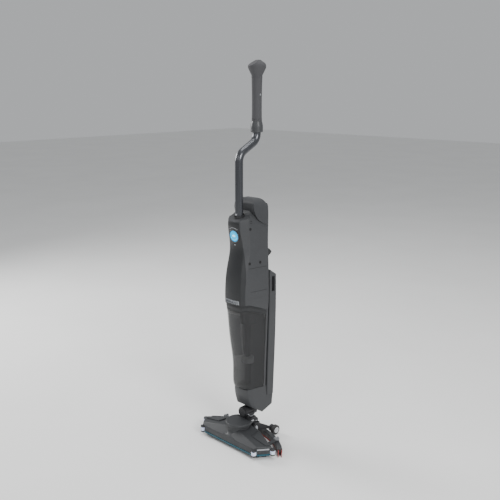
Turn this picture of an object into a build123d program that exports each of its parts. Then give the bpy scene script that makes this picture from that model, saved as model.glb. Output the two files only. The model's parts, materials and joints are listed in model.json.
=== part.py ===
import os
from math import atan2, cos, degrees, radians, sin

from build123d import *

os.makedirs("parts", exist_ok=True)

# Upright wet dry floor scrubber, in millimetres.
# +Z up, the front faces -Y, the origin is on the floor under the middle of the machine.

# ---------------------------------------------------------------- driving dimensions
WALL = 2.5
SEAM = 0.3
RUN = 0.05

# deck
DECK_BOTTOM = 12
DECK_FRONT_HALF, DECK_FRONT = 116, -89
TIP_HALF, TIP_Y = 152, -42
HIP_HALF, HIP_Y = 90, -18
DECK_REAR_HALF, DECK_REAR = 60, -8
TIP_TOP = 37
ROOF_RISE = 0.161
FRONT_TOP = 35
FRONT_SLOPE = 0.9
CHASSIS_LOW, CHASSIS_TOP = 20, 24

# brush motor and its round cover
MOTOR_Y = -37
MOTOR_R = 30
PEDESTAL_R, PEDESTAL_TOP = 36, 64
FLARE_R = 60
COVER_R, COVER_TOP = 42.5, 75
ORBIT = 1.5

# bumper rollers on the four corners
ROLLER_R, ROLLER_LOW, ROLLER_TOP = 8, 16.4, 27.6
ROLLER_PIN_R = 2
CORNERS = {
    "front_left": (DECK_FRONT_HALF, DECK_FRONT),
    "rear_left": (TIP_HALF, TIP_Y),
    "front_right": (-DECK_FRONT_HALF, DECK_FRONT),
    "rear_right": (-TIP_HALF, TIP_Y),
}

# neck: the pitch pin runs along X, the roll pin along Y above it
PITCH_Y, PITCH_Z = 0, 66
PITCH_PIN_R = 4
LUG_R, LUG_HALF = 12, 16.5
EAR_IN, EAR_OUT = 17, 25
ROLL_Z = 97
BARREL_R, BARREL_FRONT, BARREL_REAR = 17, -20, 18
ROLL_PIN_R = 8

# wheels on the rear arms
WHEEL_Y, WHEEL_R = 81, 16
HUB_R = 9.5
WHEEL_IN, WHEEL_OUT = 46, 59
AXLE_R = 3
ARM_THICK = 9
ARM_START = (35, -12)
ARM_END = (39, WHEEL_Y)

# squeegee: one wide arc that runs forward at its ends
SQ_REAR, SQ_R = 49.4, 226
SQ_HOLDER_TURN, SQ_BLADE_TURN = 43.5, 46.5
SQ_HOLDER_HALF = 8
SQ_HOLDER_LOW, SQ_HOLDER_TOP = 8.5, 23.4
SQ_BLADE_TOP = 19.5
STRAP_HALF_X, STRAP_LOW, STRAP_TOP = 114.5, 24.2, 28.2
KNOB_R, KNOB_TOP = 9, 35

# body heights
BOOT_TOP = 183
SHELF_Z = 150
SKIRT_TOP = 490
LIP = [(-100, 472), (-36, 472), (10, 455), (62, 431)]
LID_HEIGHT = 19
SPINE_FRONT, SPINE_REAR = 33, 44
CLEAN_FRONT = 45.7
CLEAN_TOP = 572

# display button on the front panel
BUTTON_Z, BUTTON_R = 685, 17
BUTTON_SURFACE_Y = -55.6
PANEL_LEAN = 7.3

# handle
TUBE_R, TUBE_WALL = 12.3, 1.5
TUBE_Y, GRIP_Y = -34, 42
TUBE_END, TUBE_KNEE, TUBE_SHOULDER, TUBE_TOP = 642, 927, 967, 1150
TUBE_BEND_R = 34
GRIP_LOW, GRIP_TOP, HANDLE_TOP = 1023, 1156, 1200


def save(builder, name):
    """Label a finished piece and write it under its own name."""
    builder.part.label = name
    export_step(builder.part, f"parts/{name}.step")


# ---------------------------------------------------------------- the column's outer form
# One cross-section of the body: its height, the front face's half width and lowest Y,
# the side corner, and the half width and Y of the flat back.
COLUMN = [
    (183, 28.6, -32, 32.5, -13, 46, 44),
    (260, 29.5, -38.5, 35, -18, 48.5, 44),
    (330, 30.5, -47, 37, -26, 51, 44),
    (400, 32, -55, 39.5, -34, 53.5, 44),
    (452, 33, -60.5, 41.5, -40, 55.5, 44),
    (490, 34, -67, 43, -46, 57, 44),
    (530, 33.5, -66, 43, -46, 56.5, 44),
    (585, 31, -60, 42.5, -40, 55, 44),
    (642, 27.5, -51, 41.5, -29, 52.5, 44),
    (690, 27, -56, 41.5, -32, 51, 45),
    (720, 26, -60, 42, -34, 49.5, 47),
    (760, 24, -52, 41, -28, 47, 49),
    (800, 20, -36, 37, -18, 41, 46),
]
BOOT = [
    (88, 34, -4, 43, 6, 54, 66),
    (112, 33, -12, 40.5, 2, 53.5, 67),
    (140, 31, -23, 36.5, -6, 51.5, 72),
    (183, 28.6, -32, 32.5, -13, 49.5, 76),
]
FRONT_BOW = 4
CORNER_R = 6


def section(z, front_half, front_y, side_half, side_y, rear_half, rear_y, inset):
    """One filleted cross-section, its front face gently bowed."""
    front_corner = (front_half, front_y + FRONT_BOW)
    with BuildSketch(Plane.XY.offset(z)) as outline:
        with BuildLine():
            ThreePointArc((-front_half, front_y + FRONT_BOW), (0, front_y), front_corner)
            Polyline(
                front_corner,
                (side_half, side_y),
                (rear_half, rear_y),
                (-rear_half, rear_y),
                (-side_half, side_y),
                (-front_half, front_y + FRONT_BOW),
            )
        make_face()
        fillet(outline.vertices(), radius=CORNER_R)
        if inset:
            offset(amount=-inset)
    return outline.sketch


def form(sections, inset=0.0):
    """A smooth body through a list of cross-sections."""
    with BuildPart() as body:
        loft(sections=[section(*row, inset) for row in sections])
    return body.part


def between(sections, low, high):
    """The given cross-sections whose heights lie in a range."""
    return [row for row in sections if low <= row[0] <= high]


def block(x_half, y_low, y_high, z_low, z_high):
    """A box centred on X, made outside the builders that use it."""
    with BuildPart() as solid:
        with Locations((0, (y_low + y_high) / 2, (z_low + z_high) / 2)):
            Box(2 * x_half, y_high - y_low, z_high - z_low)
    return solid.part


TANK_ROWS = between(COLUMN, 183, 530)
HOUSING_ROWS = between(COLUMN, 400, 800)


def under_lip(shift):
    """Everything below the housing's lower lip, which falls towards the back, moved up by a shift."""
    with BuildPart() as slab:
        with BuildSketch(Plane.YZ):
            with BuildLine():
                Polyline((LIP[0][0], 100), *[(y, z + shift) for y, z in LIP], (LIP[-1][0], 100), close=True)
            make_face()
        extrude(amount=80, both=True)
    return slab.part


# ---------------------------------------------------------------- deck
def deck_outline(inset=0.0):
    """The wing outline seen from above, drawn into the sketch that is open."""
    with BuildSketch() as outline:
        with BuildLine():
            Polyline(
                (-DECK_FRONT_HALF, DECK_FRONT),
                (DECK_FRONT_HALF, DECK_FRONT),
                (TIP_HALF, TIP_Y),
                (HIP_HALF, HIP_Y),
                (DECK_REAR_HALF, DECK_REAR),
                (-DECK_REAR_HALF, DECK_REAR),
                (-HIP_HALF, HIP_Y),
                (-TIP_HALF, TIP_Y),
                close=True,
            )
        make_face()
        if inset:
            offset(amount=-inset, kind=Kind.INTERSECTION)
    return outline.sketch


def deck_body(inset=0.0):
    """The wing under its three sloping roof planes."""
    with BuildPart() as body:
        with BuildSketch(Plane.XY.offset(DECK_BOTTOM)):
            add(deck_outline(inset))
        extrude(amount=70)
        for side in (1, -1):
            roof = Plane(origin=(side * TIP_HALF, 0, TIP_TOP - inset), z_dir=(side * ROOF_RISE, 0, 1))
            split(bisect_by=roof, keep=Keep.BOTTOM)
        slope = Plane(origin=(0, DECK_FRONT, FRONT_TOP - inset), z_dir=(0, -FRONT_SLOPE, 1))
        split(bisect_by=slope, keep=Keep.BOTTOM)
    return body.part


WING_FACET = [(70, -20), (90, -24), (139, -43), (134, -54), (78, -54)]
WING_GROOVE = [(62, -18), (67.5, -18), (75.5, -54), (70, -54)]


def pedestal():
    """The round tower under the motor cover, flaring onto the roof."""
    flare = FLARE_R - PEDESTAL_R
    flare_top = PEDESTAL_TOP - 3
    middle = (FLARE_R - flare * cos(radians(45)), flare_top - flare * sin(radians(45)))
    with BuildPart() as tower:
        with BuildSketch(Plane.XZ.offset(-MOTOR_Y)):
            with BuildLine():
                Polyline((PEDESTAL_R, flare_top), (PEDESTAL_R, PEDESTAL_TOP), (0, PEDESTAL_TOP), (0, DECK_BOTTOM),
                         (FLARE_R, DECK_BOTTOM), (FLARE_R, flare_top - flare))
                ThreePointArc((FLARE_R, flare_top - flare), middle, (PEDESTAL_R, flare_top))
            make_face()
        revolve(axis=Axis((0, MOTOR_Y, 0), (0, 0, 1)))
    return tower.part


with BuildPart() as deck_shell:
    add(deck_body())
    fillet(deck_shell.edges().filter_by(lambda e: e.center().Z > TIP_TOP - 3), radius=3)
    add(pedestal())
    with BuildSketch(Plane.XY.offset(DECK_BOTTOM)):
        add(deck_outline())
    extrude(amount=80, mode=Mode.INTERSECT)
    add(deck_body(WALL), mode=Mode.SUBTRACT)
    with Locations((0, MOTOR_Y, DECK_BOTTOM)):
        Cylinder(PEDESTAL_R - 4, PEDESTAL_TOP - 3 - DECK_BOTTOM, align=(Align.CENTER, Align.CENTER, Align.MIN),
                 mode=Mode.SUBTRACT)
    # solid corner lugs that hold the roller pins, with a pocket for each roller
    for corner in CORNERS.values():
        with Locations((*corner, DECK_BOTTOM)):
            Cylinder(7, TIP_TOP - 4 - DECK_BOTTOM, align=(Align.CENTER, Align.CENTER, Align.MIN))
    for corner in CORNERS.values():
        with Locations((*corner, ROLLER_LOW - 0.4)):
            Cylinder(ROLLER_R + 0.7, ROLLER_TOP - ROLLER_LOW + 0.8,
                     align=(Align.CENTER, Align.CENTER, Align.MIN), mode=Mode.SUBTRACT)
        with Locations((*corner, DECK_BOTTOM)):
            Cylinder(ROLLER_PIN_R, TIP_TOP - 6 - DECK_BOTTOM, align=(Align.CENTER, Align.CENTER, Align.MIN),
                     mode=Mode.SUBTRACT)
    # clearance for the neck, the rear arms and the squeegee straps
    add(block(EAR_OUT + 4, -16, 20, DECK_BOTTOM, 100), mode=Mode.SUBTRACT)
    add(block(46, -16, 20, DECK_BOTTOM, 52), mode=Mode.SUBTRACT)
    for side in (1, -1):
        with Locations((side * STRAP_HALF_X, -30, STRAP_LOW - 0.2)):
            Box(15, 30, STRAP_TOP - STRAP_LOW + 0.4, align=(Align.CENTER, Align.CENTER, Align.MIN),
                mode=Mode.SUBTRACT)
    # raised facet on each wing, with a shadow groove between it and the tower
    for side in (1, -1):
        with BuildPart(mode=Mode.PRIVATE) as facet:
            with BuildSketch(Plane.XY.offset(TIP_TOP - 3)):
                Polygon(*[(side * x, y) for x, y in WING_FACET], align=None)
            extrude(amount=40)
            split(bisect_by=Plane(origin=(side * TIP_HALF, 0, TIP_TOP + 2.2), z_dir=(side * ROOF_RISE, 0, 1)),
                  keep=Keep.BOTTOM)
            chamfer(facet.edges().group_by(Axis.Z)[-1], length=1.2)
            add(deck_body(WALL - 0.5), mode=Mode.SUBTRACT)
        add(facet.part)
        with BuildPart(mode=Mode.PRIVATE) as groove:
            with BuildSketch(Plane.XY.offset(TIP_TOP)):
                Polygon(*[(side * x, y) for x, y in WING_GROOVE], align=None)
            extrude(amount=40)
            add(deck_body(1.3), mode=Mode.SUBTRACT)
        add(groove.part, mode=Mode.SUBTRACT)
save(deck_shell, "deck_shell")

with BuildPart() as deck_chassis:
    with BuildSketch(Plane.XY.offset(CHASSIS_LOW)):
        add(deck_outline(13))
        with Locations((0, -5)):
            Rectangle(92, 38)
        with Locations((0, MOTOR_Y)):
            Circle(5 + RUN, mode=Mode.SUBTRACT)
    extrude(amount=CHASSIS_TOP - CHASSIS_LOW)
    with BuildSketch(Plane.XY.offset(CHASSIS_TOP)):
        with Locations((0, MOTOR_Y)):
            Circle(MOTOR_R + 1)
            Circle(22, mode=Mode.SUBTRACT)
        with Locations((0, 6)):
            Rectangle(80, 40, mode=Mode.SUBTRACT)
    extrude(amount=4)
save(deck_chassis, "deck_chassis")

with BuildPart() as motor_cover:
    with Locations((0, MOTOR_Y, PEDESTAL_TOP + 0.1)):
        Cylinder(PEDESTAL_R - 2, 3, align=(Align.CENTER, Align.CENTER, Align.MIN))
    with Locations((0, MOTOR_Y, PEDESTAL_TOP + 3)):
        Cylinder(COVER_R, COVER_TOP - PEDESTAL_TOP - 3, align=(Align.CENTER, Align.CENTER, Align.MIN))
    fillet(motor_cover.edges().filter_by(GeomType.CIRCLE).group_by(Axis.Z)[-1], radius=3)
    add(block(EAR_OUT + 4, -16, 20, 50, 100), mode=Mode.SUBTRACT)
save(motor_cover, "motor_cover")

with BuildPart() as bumper_strip:
    with BuildSketch(Plane.XY.offset(DECK_BOTTOM)) as strip_outline:
        add(deck_outline(-1.6))
        add(deck_outline(), mode=Mode.SUBTRACT)
        with Locations((0, 20)):
            Rectangle(2 * TIP_HALF + 40, 2 * (20 - TIP_Y), mode=Mode.SUBTRACT)
        with Locations(*CORNERS.values()):
            Circle(ROLLER_R + 1.5, mode=Mode.SUBTRACT)
    extrude(amount=5)
save(bumper_strip, "bumper_strip")

with BuildPart() as brush_motor:
    with Locations((0, MOTOR_Y, CHASSIS_TOP + 4.1)):
        Cylinder(MOTOR_R, 28, align=(Align.CENTER, Align.CENTER, Align.MIN))
    with Locations((0, MOTOR_Y, CHASSIS_TOP + 32)):
        Cylinder(12, 4, align=(Align.CENTER, Align.CENTER, Align.MIN))
    add(block(EAR_OUT + 5, -15, 20, 20, 100), mode=Mode.SUBTRACT)
save(brush_motor, "brush_motor")

with BuildPart() as roller_pins:
    for corner in CORNERS.values():
        with Locations((*corner, DECK_BOTTOM)):
            Cylinder(ROLLER_PIN_R, TIP_TOP - 6 - DECK_BOTTOM, align=(Align.CENTER, Align.CENTER, Align.MIN))
save(roller_pins, "roller_pins")

for corner_name, corner in CORNERS.items():
    with BuildPart() as bumper_roller:
        with Locations((*corner, ROLLER_LOW)):
            Cylinder(ROLLER_R, ROLLER_TOP - ROLLER_LOW, align=(Align.CENTER, Align.CENTER, Align.MIN))
        fillet(bumper_roller.edges().filter_by(GeomType.CIRCLE), radius=1.5)
        with Locations((*corner, ROLLER_LOW)):
            Cylinder(ROLLER_PIN_R + RUN, 20, align=(Align.CENTER, Align.CENTER, Align.MIN), mode=Mode.SUBTRACT)
    save(bumper_roller, f"bumper_roller_{corner_name}")

# ---------------------------------------------------------------- vibrating brush
PLATE_LOW, PLATE_TOP = 12.4, 16.6

with BuildPart() as eccentric_shaft:
    with Locations((0, MOTOR_Y, PLATE_TOP + 0.4)):
        Cylinder(9, CHASSIS_LOW - PLATE_TOP - 0.8, align=(Align.CENTER, Align.CENTER, Align.MIN))
        Cylinder(5, CHASSIS_TOP + 3.5 - PLATE_TOP, align=(Align.CENTER, Align.CENTER, Align.MIN))
    with Locations((ORBIT, MOTOR_Y, PLATE_LOW)):
        Cylinder(4, PLATE_TOP + 1 - PLATE_LOW, align=(Align.CENTER, Align.CENTER, Align.MIN))
save(eccentric_shaft, "eccentric_shaft")

with BuildPart() as brush_plate:
    with BuildSketch(Plane.XY.offset(PLATE_LOW)):
        add(deck_outline(10.5))
        with Locations((ORBIT, MOTOR_Y)):
            Circle(4 + RUN, mode=Mode.SUBTRACT)
    extrude(amount=PLATE_TOP - PLATE_LOW)
save(brush_plate, "brush_plate")

with BuildPart() as brush_bristles:
    with BuildSketch():
        add(deck_outline(12))
        add(deck_outline(26), mode=Mode.SUBTRACT)
        with Locations((0, (TIP_Y + DECK_FRONT) / 2 + 4)):
            Rectangle(2 * TIP_HALF, 9, mode=Mode.SUBTRACT)
    extrude(amount=PLATE_LOW)
save(brush_bristles, "brush_bristles")

# ---------------------------------------------------------------- neck
with BuildPart() as neck_bracket:
    add(block(EAR_OUT, -13, 13, CHASSIS_TOP + 0.1, 32))
    with BuildSketch(Plane.YZ.offset(-EAR_OUT)):
        with BuildLine():
            Polyline((-LUG_R, PITCH_Z), (-LUG_R, 30), (LUG_R, 30), (LUG_R, PITCH_Z))
            ThreePointArc((LUG_R, PITCH_Z), (0, PITCH_Z + LUG_R), (-LUG_R, PITCH_Z))
        make_face()
    extrude(amount=2 * EAR_OUT)
    add(block(EAR_IN, -20, 20, 32, 100), mode=Mode.SUBTRACT)
    with Locations(Plane(origin=(0, PITCH_Y, PITCH_Z), z_dir=(1, 0, 0))):
        Cylinder(PITCH_PIN_R, 60, mode=Mode.SUBTRACT)
save(neck_bracket, "neck_bracket")

with BuildPart() as pitch_pin:
    with Locations(Plane(origin=(0, PITCH_Y, PITCH_Z), z_dir=(1, 0, 0))):
        Cylinder(PITCH_PIN_R, 2 * EAR_OUT + 1)
    for side in (1, -1):
        with Locations(Plane(origin=(side * (EAR_OUT + 1.7), PITCH_Y, PITCH_Z), z_dir=(1, 0, 0))):
            Cylinder(6.5, 3)
    fillet(pitch_pin.edges().filter_by(GeomType.CIRCLE).filter_by(lambda e: abs(e.center().X) > EAR_OUT + 3),
           radius=1.2)
save(pitch_pin, "pitch_pin")

with BuildPart() as neck_yoke:
    with BuildSketch(Plane.YZ.offset(-LUG_HALF)):
        with BuildLine():
            Polyline((-LUG_R, PITCH_Z), (-LUG_R, ROLL_Z - 8), (LUG_R, ROLL_Z - 8), (LUG_R, PITCH_Z))
            ThreePointArc((LUG_R, PITCH_Z), (0, PITCH_Z - LUG_R), (-LUG_R, PITCH_Z))
        make_face()
    extrude(amount=2 * LUG_HALF)
    with Locations(Plane(origin=(0, BARREL_FRONT, ROLL_Z), z_dir=(0, 1, 0))):
        Cylinder(BARREL_R, BARREL_REAR - BARREL_FRONT, align=(Align.CENTER, Align.CENTER, Align.MIN))
        Cylinder(ROLL_PIN_R + RUN, 60, align=(Align.CENTER, Align.CENTER, Align.MIN), mode=Mode.SUBTRACT)
    with Locations(Plane(origin=(0, PITCH_Y, PITCH_Z), z_dir=(1, 0, 0))):
        Cylinder(PITCH_PIN_R + RUN, 60, mode=Mode.SUBTRACT)
save(neck_yoke, "neck_yoke")

with BuildPart() as roll_pin:
    with Locations(Plane(origin=(0, BARREL_FRONT - 4.3, ROLL_Z), z_dir=(0, 1, 0))):
        Cylinder(15, 4, align=(Align.CENTER, Align.CENTER, Align.MIN))
        Cylinder(ROLL_PIN_R, 32 - BARREL_FRONT + 4.3, align=(Align.CENTER, Align.CENTER, Align.MIN))
    fillet(roll_pin.edges().filter_by(GeomType.CIRCLE).group_by(Axis.Y)[0], radius=1.5)
save(roll_pin, "roll_pin")

# ---------------------------------------------------------------- rear arms and wheels
ARM_LENGTH = ((ARM_END[0] - ARM_START[0]) ** 2 + (ARM_END[1] - ARM_START[1]) ** 2) ** 0.5
ARM_SPLAY = degrees(atan2(ARM_END[0] - ARM_START[0], ARM_END[1] - ARM_START[1]))


def rear_arm(side):
    """One arm: a deep plate that falls from the neck bracket to the wheel."""
    along = (side * sin(radians(ARM_SPLAY)), cos(radians(ARM_SPLAY)), 0)
    upright = Plane(origin=(side * ARM_START[0], ARM_START[1], 0), x_dir=along,
                    z_dir=(along[1], -along[0], 0))
    with BuildPart() as arm:
        with BuildSketch(upright):
            with BuildLine():
                Polyline((ARM_LENGTH - 8, 8.5), (76, 23.5), (18, 36), (6, CHASSIS_TOP + 0.1),
                         (0, CHASSIS_TOP + 0.1), (0, 46), (14, 63), (24, 62), (84, 26.5))
                ThreePointArc((84, 26.5), (ARM_LENGTH + 10.5, 16), (ARM_LENGTH - 8, 8.5))
            make_face()
        extrude(amount=ARM_THICK / 2, both=True)
        fillet(arm.edges().filter_by(lambda e: e.center().Z > 40 and e.length > 20), radius=2)
        with Locations(Plane(origin=(side * ARM_END[0], WHEEL_Y, WHEEL_R), z_dir=(1, 0, 0))):
            Cylinder(AXLE_R, 40, mode=Mode.SUBTRACT)
    return arm


with BuildPart() as wheel_axles:
    for side in (1, -1):
        with Locations(Plane(origin=(side * (ARM_END[0] - 5), WHEEL_Y, WHEEL_R), z_dir=(side, 0, 0))):
            Cylinder(AXLE_R, WHEEL_OUT + 2 - ARM_END[0] + 5, align=(Align.CENTER, Align.CENTER, Align.MIN))
        with Locations(Plane(origin=(side * (WHEEL_OUT + 0.7), WHEEL_Y, WHEEL_R), z_dir=(side, 0, 0))):
            Cylinder(5, 1.6, align=(Align.CENTER, Align.CENTER, Align.MIN))
save(wheel_axles, "wheel_axles")

for side, side_name in ((1, "left"), (-1, "right")):
    save(rear_arm(side), f"rear_arm_{side_name}")
    wheel_plane = Plane(origin=(side * (WHEEL_IN + WHEEL_OUT) / 2, WHEEL_Y, WHEEL_R), z_dir=(side, 0, 0))
    width = WHEEL_OUT - WHEEL_IN
    with BuildPart() as wheel_tyre:
        with Locations(wheel_plane):
            Cylinder(WHEEL_R, width)
        fillet(wheel_tyre.edges().filter_by(GeomType.CIRCLE), radius=2.5)
        with Locations(wheel_plane):
            Cylinder(HUB_R, width + 2, mode=Mode.SUBTRACT)
    save(wheel_tyre, f"wheel_tyre_{side_name}")
    with BuildPart() as wheel_hub:
        with Locations(wheel_plane):
            Cylinder(HUB_R, width + 0.8)
        with BuildSketch(wheel_plane.offset(width / 2 + 0.4)):
            Circle(HUB_R - 2)
            Circle(5, mode=Mode.SUBTRACT)
        extrude(amount=-2, mode=Mode.SUBTRACT)
        with Locations(wheel_plane):
            Cylinder(AXLE_R + RUN, width + 10, mode=Mode.SUBTRACT)
    save(wheel_hub, f"wheel_hub_{side_name}")

# ---------------------------------------------------------------- squeegee
SQ_CENTRE = (0, SQ_REAR - SQ_R)


def squeegee_band(inner, outer, turn):
    """The curved band between two distances from the squeegee's centre line, over a turn each way."""
    with BuildSketch() as band:
        with BuildLine():
            near = CenterArc(SQ_CENTRE, SQ_R + inner, 90 - turn, 2 * turn)
            far = CenterArc(SQ_CENTRE, SQ_R + outer, 90 - turn, 2 * turn)
            Line(near @ 0, far @ 0)
            Line(near @ 1, far @ 1)
        make_face()
    return band.sketch


def on_squeegee(x):
    """The point on the squeegee's centre line at a given X."""
    return (x, SQ_CENTRE[1] + (SQ_R ** 2 - x ** 2) ** 0.5)


KNOB_PLACES = {"left": on_squeegee(STRAP_HALF_X), "right": on_squeegee(-STRAP_HALF_X)}

BLADE_BANDS = {"front": (-6, -4), "rear": (4, 6)}

with BuildPart() as squeegee_holder:
    with BuildSketch(Plane.XY.offset(SQ_HOLDER_LOW)):
        add(squeegee_band(-SQ_HOLDER_HALF, SQ_HOLDER_HALF, SQ_HOLDER_TURN))
    extrude(amount=SQ_HOLDER_TOP - SQ_HOLDER_LOW)
    fillet(squeegee_holder.edges().filter_by(lambda e: e.center().Z > SQ_HOLDER_TOP - 0.1), radius=1.5)
    # the two slots that grip the blades
    with BuildSketch(Plane.XY.offset(SQ_HOLDER_LOW)):
        for near, far in BLADE_BANDS.values():
            add(squeegee_band(near, far, SQ_BLADE_TURN))
    extrude(amount=SQ_BLADE_TOP - SQ_HOLDER_LOW, mode=Mode.SUBTRACT)
    for place in KNOB_PLACES.values():
        with Locations((*place, SQ_HOLDER_TOP - 1)):
            Cylinder(6.5, STRAP_LOW - SQ_HOLDER_TOP + 0.9, align=(Align.CENTER, Align.CENTER, Align.MIN))
        with Locations((*place, 12)):
            Cylinder(3 + RUN, 20, align=(Align.CENTER, Align.CENTER, Align.MIN), mode=Mode.SUBTRACT)
    # suction spout at the middle, open down to the floor between the blades
    with Locations((0, SQ_REAR, SQ_HOLDER_TOP - 2)):
        Cylinder(9, 15, align=(Align.CENTER, Align.CENTER, Align.MIN))
        Cylinder(3.4, 60, mode=Mode.SUBTRACT)
    with Locations((0, SQ_REAR, SQ_HOLDER_TOP + 2)):
        Cylinder(7, 20, align=(Align.CENTER, Align.CENTER, Align.MIN), mode=Mode.SUBTRACT)
save(squeegee_holder, "squeegee_holder")

for blade_name, (near, far) in BLADE_BANDS.items():
    with BuildPart() as squeegee_blade:
        with BuildSketch():
            add(squeegee_band(near, far, SQ_BLADE_TURN))
        extrude(amount=SQ_BLADE_TOP)
    save(squeegee_blade, f"squeegee_blade_{blade_name}")

with BuildPart() as squeegee_straps:
    for place in KNOB_PLACES.values():
        with BuildSketch(Plane.XY.offset(STRAP_LOW)):
            with Locations((place[0], (place[1] - 44) / 2)):
                Rectangle(14, place[1] + 44)
            with Locations(place):
                Circle(8.5)
                Circle(3 + RUN, mode=Mode.SUBTRACT)
        extrude(amount=STRAP_TOP - STRAP_LOW)
save(squeegee_straps, "squeegee_straps")

for side_name, place in KNOB_PLACES.items():
    with BuildPart() as squeegee_knob:
        with Locations((*place, STRAP_TOP + 0.2)):
            Cylinder(KNOB_R, 3, align=(Align.CENTER, Align.CENTER, Align.MIN))
            Box(5, 2 * KNOB_R - 1, KNOB_TOP - STRAP_TOP - 0.2, align=(Align.CENTER, Align.CENTER, Align.MIN))
        fillet(squeegee_knob.edges().group_by(Axis.Z)[-1], radius=1.5)
        with Locations((*place, 13)):
            Cylinder(3, STRAP_TOP - 12, align=(Align.CENTER, Align.CENTER, Align.MIN))
    save(squeegee_knob, f"squeegee_knob_{side_name}")

# ---------------------------------------------------------------- boot
UNDERSIDE = Plane(origin=(0, 24, 98), z_dir=(0, -0.48, 1))
BROW = Plane(origin=(0, 24, 98), z_dir=(0, 0.63, 1))

with BuildPart() as boot_shell:
    add(form(BOOT))
    split(bisect_by=UNDERSIDE, keep=Keep.TOP)
    split(bisect_by=BROW, keep=Keep.TOP)
    add(block(80, CLEAN_FRONT - 0.7, 120, SHELF_Z, 300), mode=Mode.SUBTRACT)
    with BuildPart(mode=Mode.PRIVATE) as boot_cavity:
        add(form(BOOT, 3))
        split(bisect_by=UNDERSIDE.offset(3), keep=Keep.TOP)
        split(bisect_by=BROW.offset(3), keep=Keep.TOP)
        add(block(80, CLEAN_FRONT - 0.7 - 3, 120, SHELF_Z - 3, 300), mode=Mode.SUBTRACT)
        add(block(80, SPINE_REAR + SEAM, CLEAN_FRONT, SHELF_Z - 3, 300), mode=Mode.SUBTRACT)
    add(boot_cavity.part, mode=Mode.SUBTRACT)
    add(block(80, -80, SPINE_REAR + SEAM, BOOT_TOP - 8, 300).intersect(form(BOOT, 3)), mode=Mode.SUBTRACT)
    # mouth for the neck's barrel
    with Locations(Plane(origin=(0, -60, ROLL_Z), z_dir=(0, 1, 0))):
        Cylinder(20.5, 98, align=(Align.CENTER, Align.CENTER, Align.MIN), mode=Mode.SUBTRACT)
    add(block(25, -60, 38, 80, ROLL_Z + 6), mode=Mode.SUBTRACT)
save(boot_shell, "boot_shell")

with BuildPart() as boot_frame:
    add(form(BOOT, 3.2).intersect(block(80, -80, SPINE_FRONT - 0.1, BOOT_TOP - 6, BOOT_TOP - 0.1)))
    add(block(15, BARREL_REAR + 0.4, SPINE_FRONT - 0.1, ROLL_Z - 13, BOOT_TOP - 4))
    with Locations(Plane(origin=(0, 0, ROLL_Z), z_dir=(0, 1, 0))):
        Cylinder(ROLL_PIN_R, 200, mode=Mode.SUBTRACT)
save(boot_frame, "boot_frame")

with BuildPart() as water_pump:
    with Locations((0, 55, 134)):
        Box(34, 16, 22)
    with Locations(Plane(origin=(17, 55, 134), z_dir=(1, 0, 0))):
        Cylinder(6, 10, align=(Align.CENTER, Align.CENTER, Align.MIN))
save(water_pump, "water_pump")

# ---------------------------------------------------------------- spine and tanks
with BuildPart() as spine_frame:
    add(form(TANK_ROWS))
    add(block(80, SPINE_FRONT, SPINE_REAR, BOOT_TOP + 0.2, 480), mode=Mode.INTERSECT)
    add(under_lip(-0.3), mode=Mode.INTERSECT)
    add(block(40, SPINE_FRONT + 3, SPINE_REAR + 5, BOOT_TOP + 8, 428), mode=Mode.SUBTRACT)
    add(block(30, SPINE_FRONT, SPINE_REAR - 2.3, 128, BOOT_TOP + 4))
    add(block(36, SPINE_FRONT + 2, SPINE_REAR - 3, 434, 500))
save(spine_frame, "spine_frame")

TANK_BACK = SPINE_FRONT - 0.4

with BuildPart() as recovery_tank:
    add(form(TANK_ROWS))
    add(block(80, -100, TANK_BACK, BOOT_TOP + 0.4, 500), mode=Mode.INTERSECT)
    add(under_lip(-LID_HEIGHT), mode=Mode.INTERSECT)
    inner_tank = form(TANK_ROWS, WALL).intersect(block(80, -100, TANK_BACK - WALL, BOOT_TOP + 3.4, 500))
    add(inner_tank, mode=Mode.SUBTRACT)
save(recovery_tank, "recovery_tank")

with BuildPart() as tank_lid:
    add(form(TANK_ROWS).intersect(block(80, -100, TANK_BACK, 300, 500)))
    add(under_lip(-0.4), mode=Mode.INTERSECT)
    add(under_lip(0.1 - LID_HEIGHT), mode=Mode.SUBTRACT)
    with BuildPart(mode=Mode.PRIVATE) as plug:
        add(form(TANK_ROWS, WALL + 0.3).intersect(block(80, -100, TANK_BACK - WALL - 0.3, 300, 500)))
        add(under_lip(1 - LID_HEIGHT), mode=Mode.INTERSECT)
        add(under_lip(-9 - LID_HEIGHT), mode=Mode.SUBTRACT)
    add(plug.part)
    # shallow grip grooves round the collar
    with BuildPart(mode=Mode.PRIVATE) as grooves:
        for step in range(3):
            add(under_lip(-14 + 4.5 * step).intersect(block(80, -100, TANK_BACK, 300, 500)))
            add(under_lip(-16 + 4.5 * step), mode=Mode.SUBTRACT)
        add(form(TANK_ROWS, 1.2), mode=Mode.SUBTRACT)
    add(grooves.part, mode=Mode.SUBTRACT)
    # hollow from below, with the air opening in its top
    with BuildPart(mode=Mode.PRIVATE) as hollow:
        add(form(TANK_ROWS, 7).intersect(block(80, -100, TANK_BACK - 7, 300, 500)))
        add(under_lip(-4), mode=Mode.INTERSECT)
    add(hollow.part, mode=Mode.SUBTRACT)
    with Locations((0, -10, 410)):
        Cylinder(22, 80, align=(Align.CENTER, Align.CENTER, Align.MIN), mode=Mode.SUBTRACT)
save(tank_lid, "tank_lid")

PIPE_Y = 6
FLOAT_LOW = 262

with BuildPart() as standpipe:
    with Locations((0, PIPE_Y, BOOT_TOP + 3.4)):
        Cylinder(9, 394 - BOOT_TOP, align=(Align.CENTER, Align.CENTER, Align.MIN))
    with Locations((0, PIPE_Y, FLOAT_LOW - 4)):
        Cylinder(14, 3.6, align=(Align.CENTER, Align.CENTER, Align.MIN))
    with Locations((0, PIPE_Y, BOOT_TOP + 12)):
        Cylinder(7, 400, align=(Align.CENTER, Align.CENTER, Align.MIN), mode=Mode.SUBTRACT)
save(standpipe, "standpipe")

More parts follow.
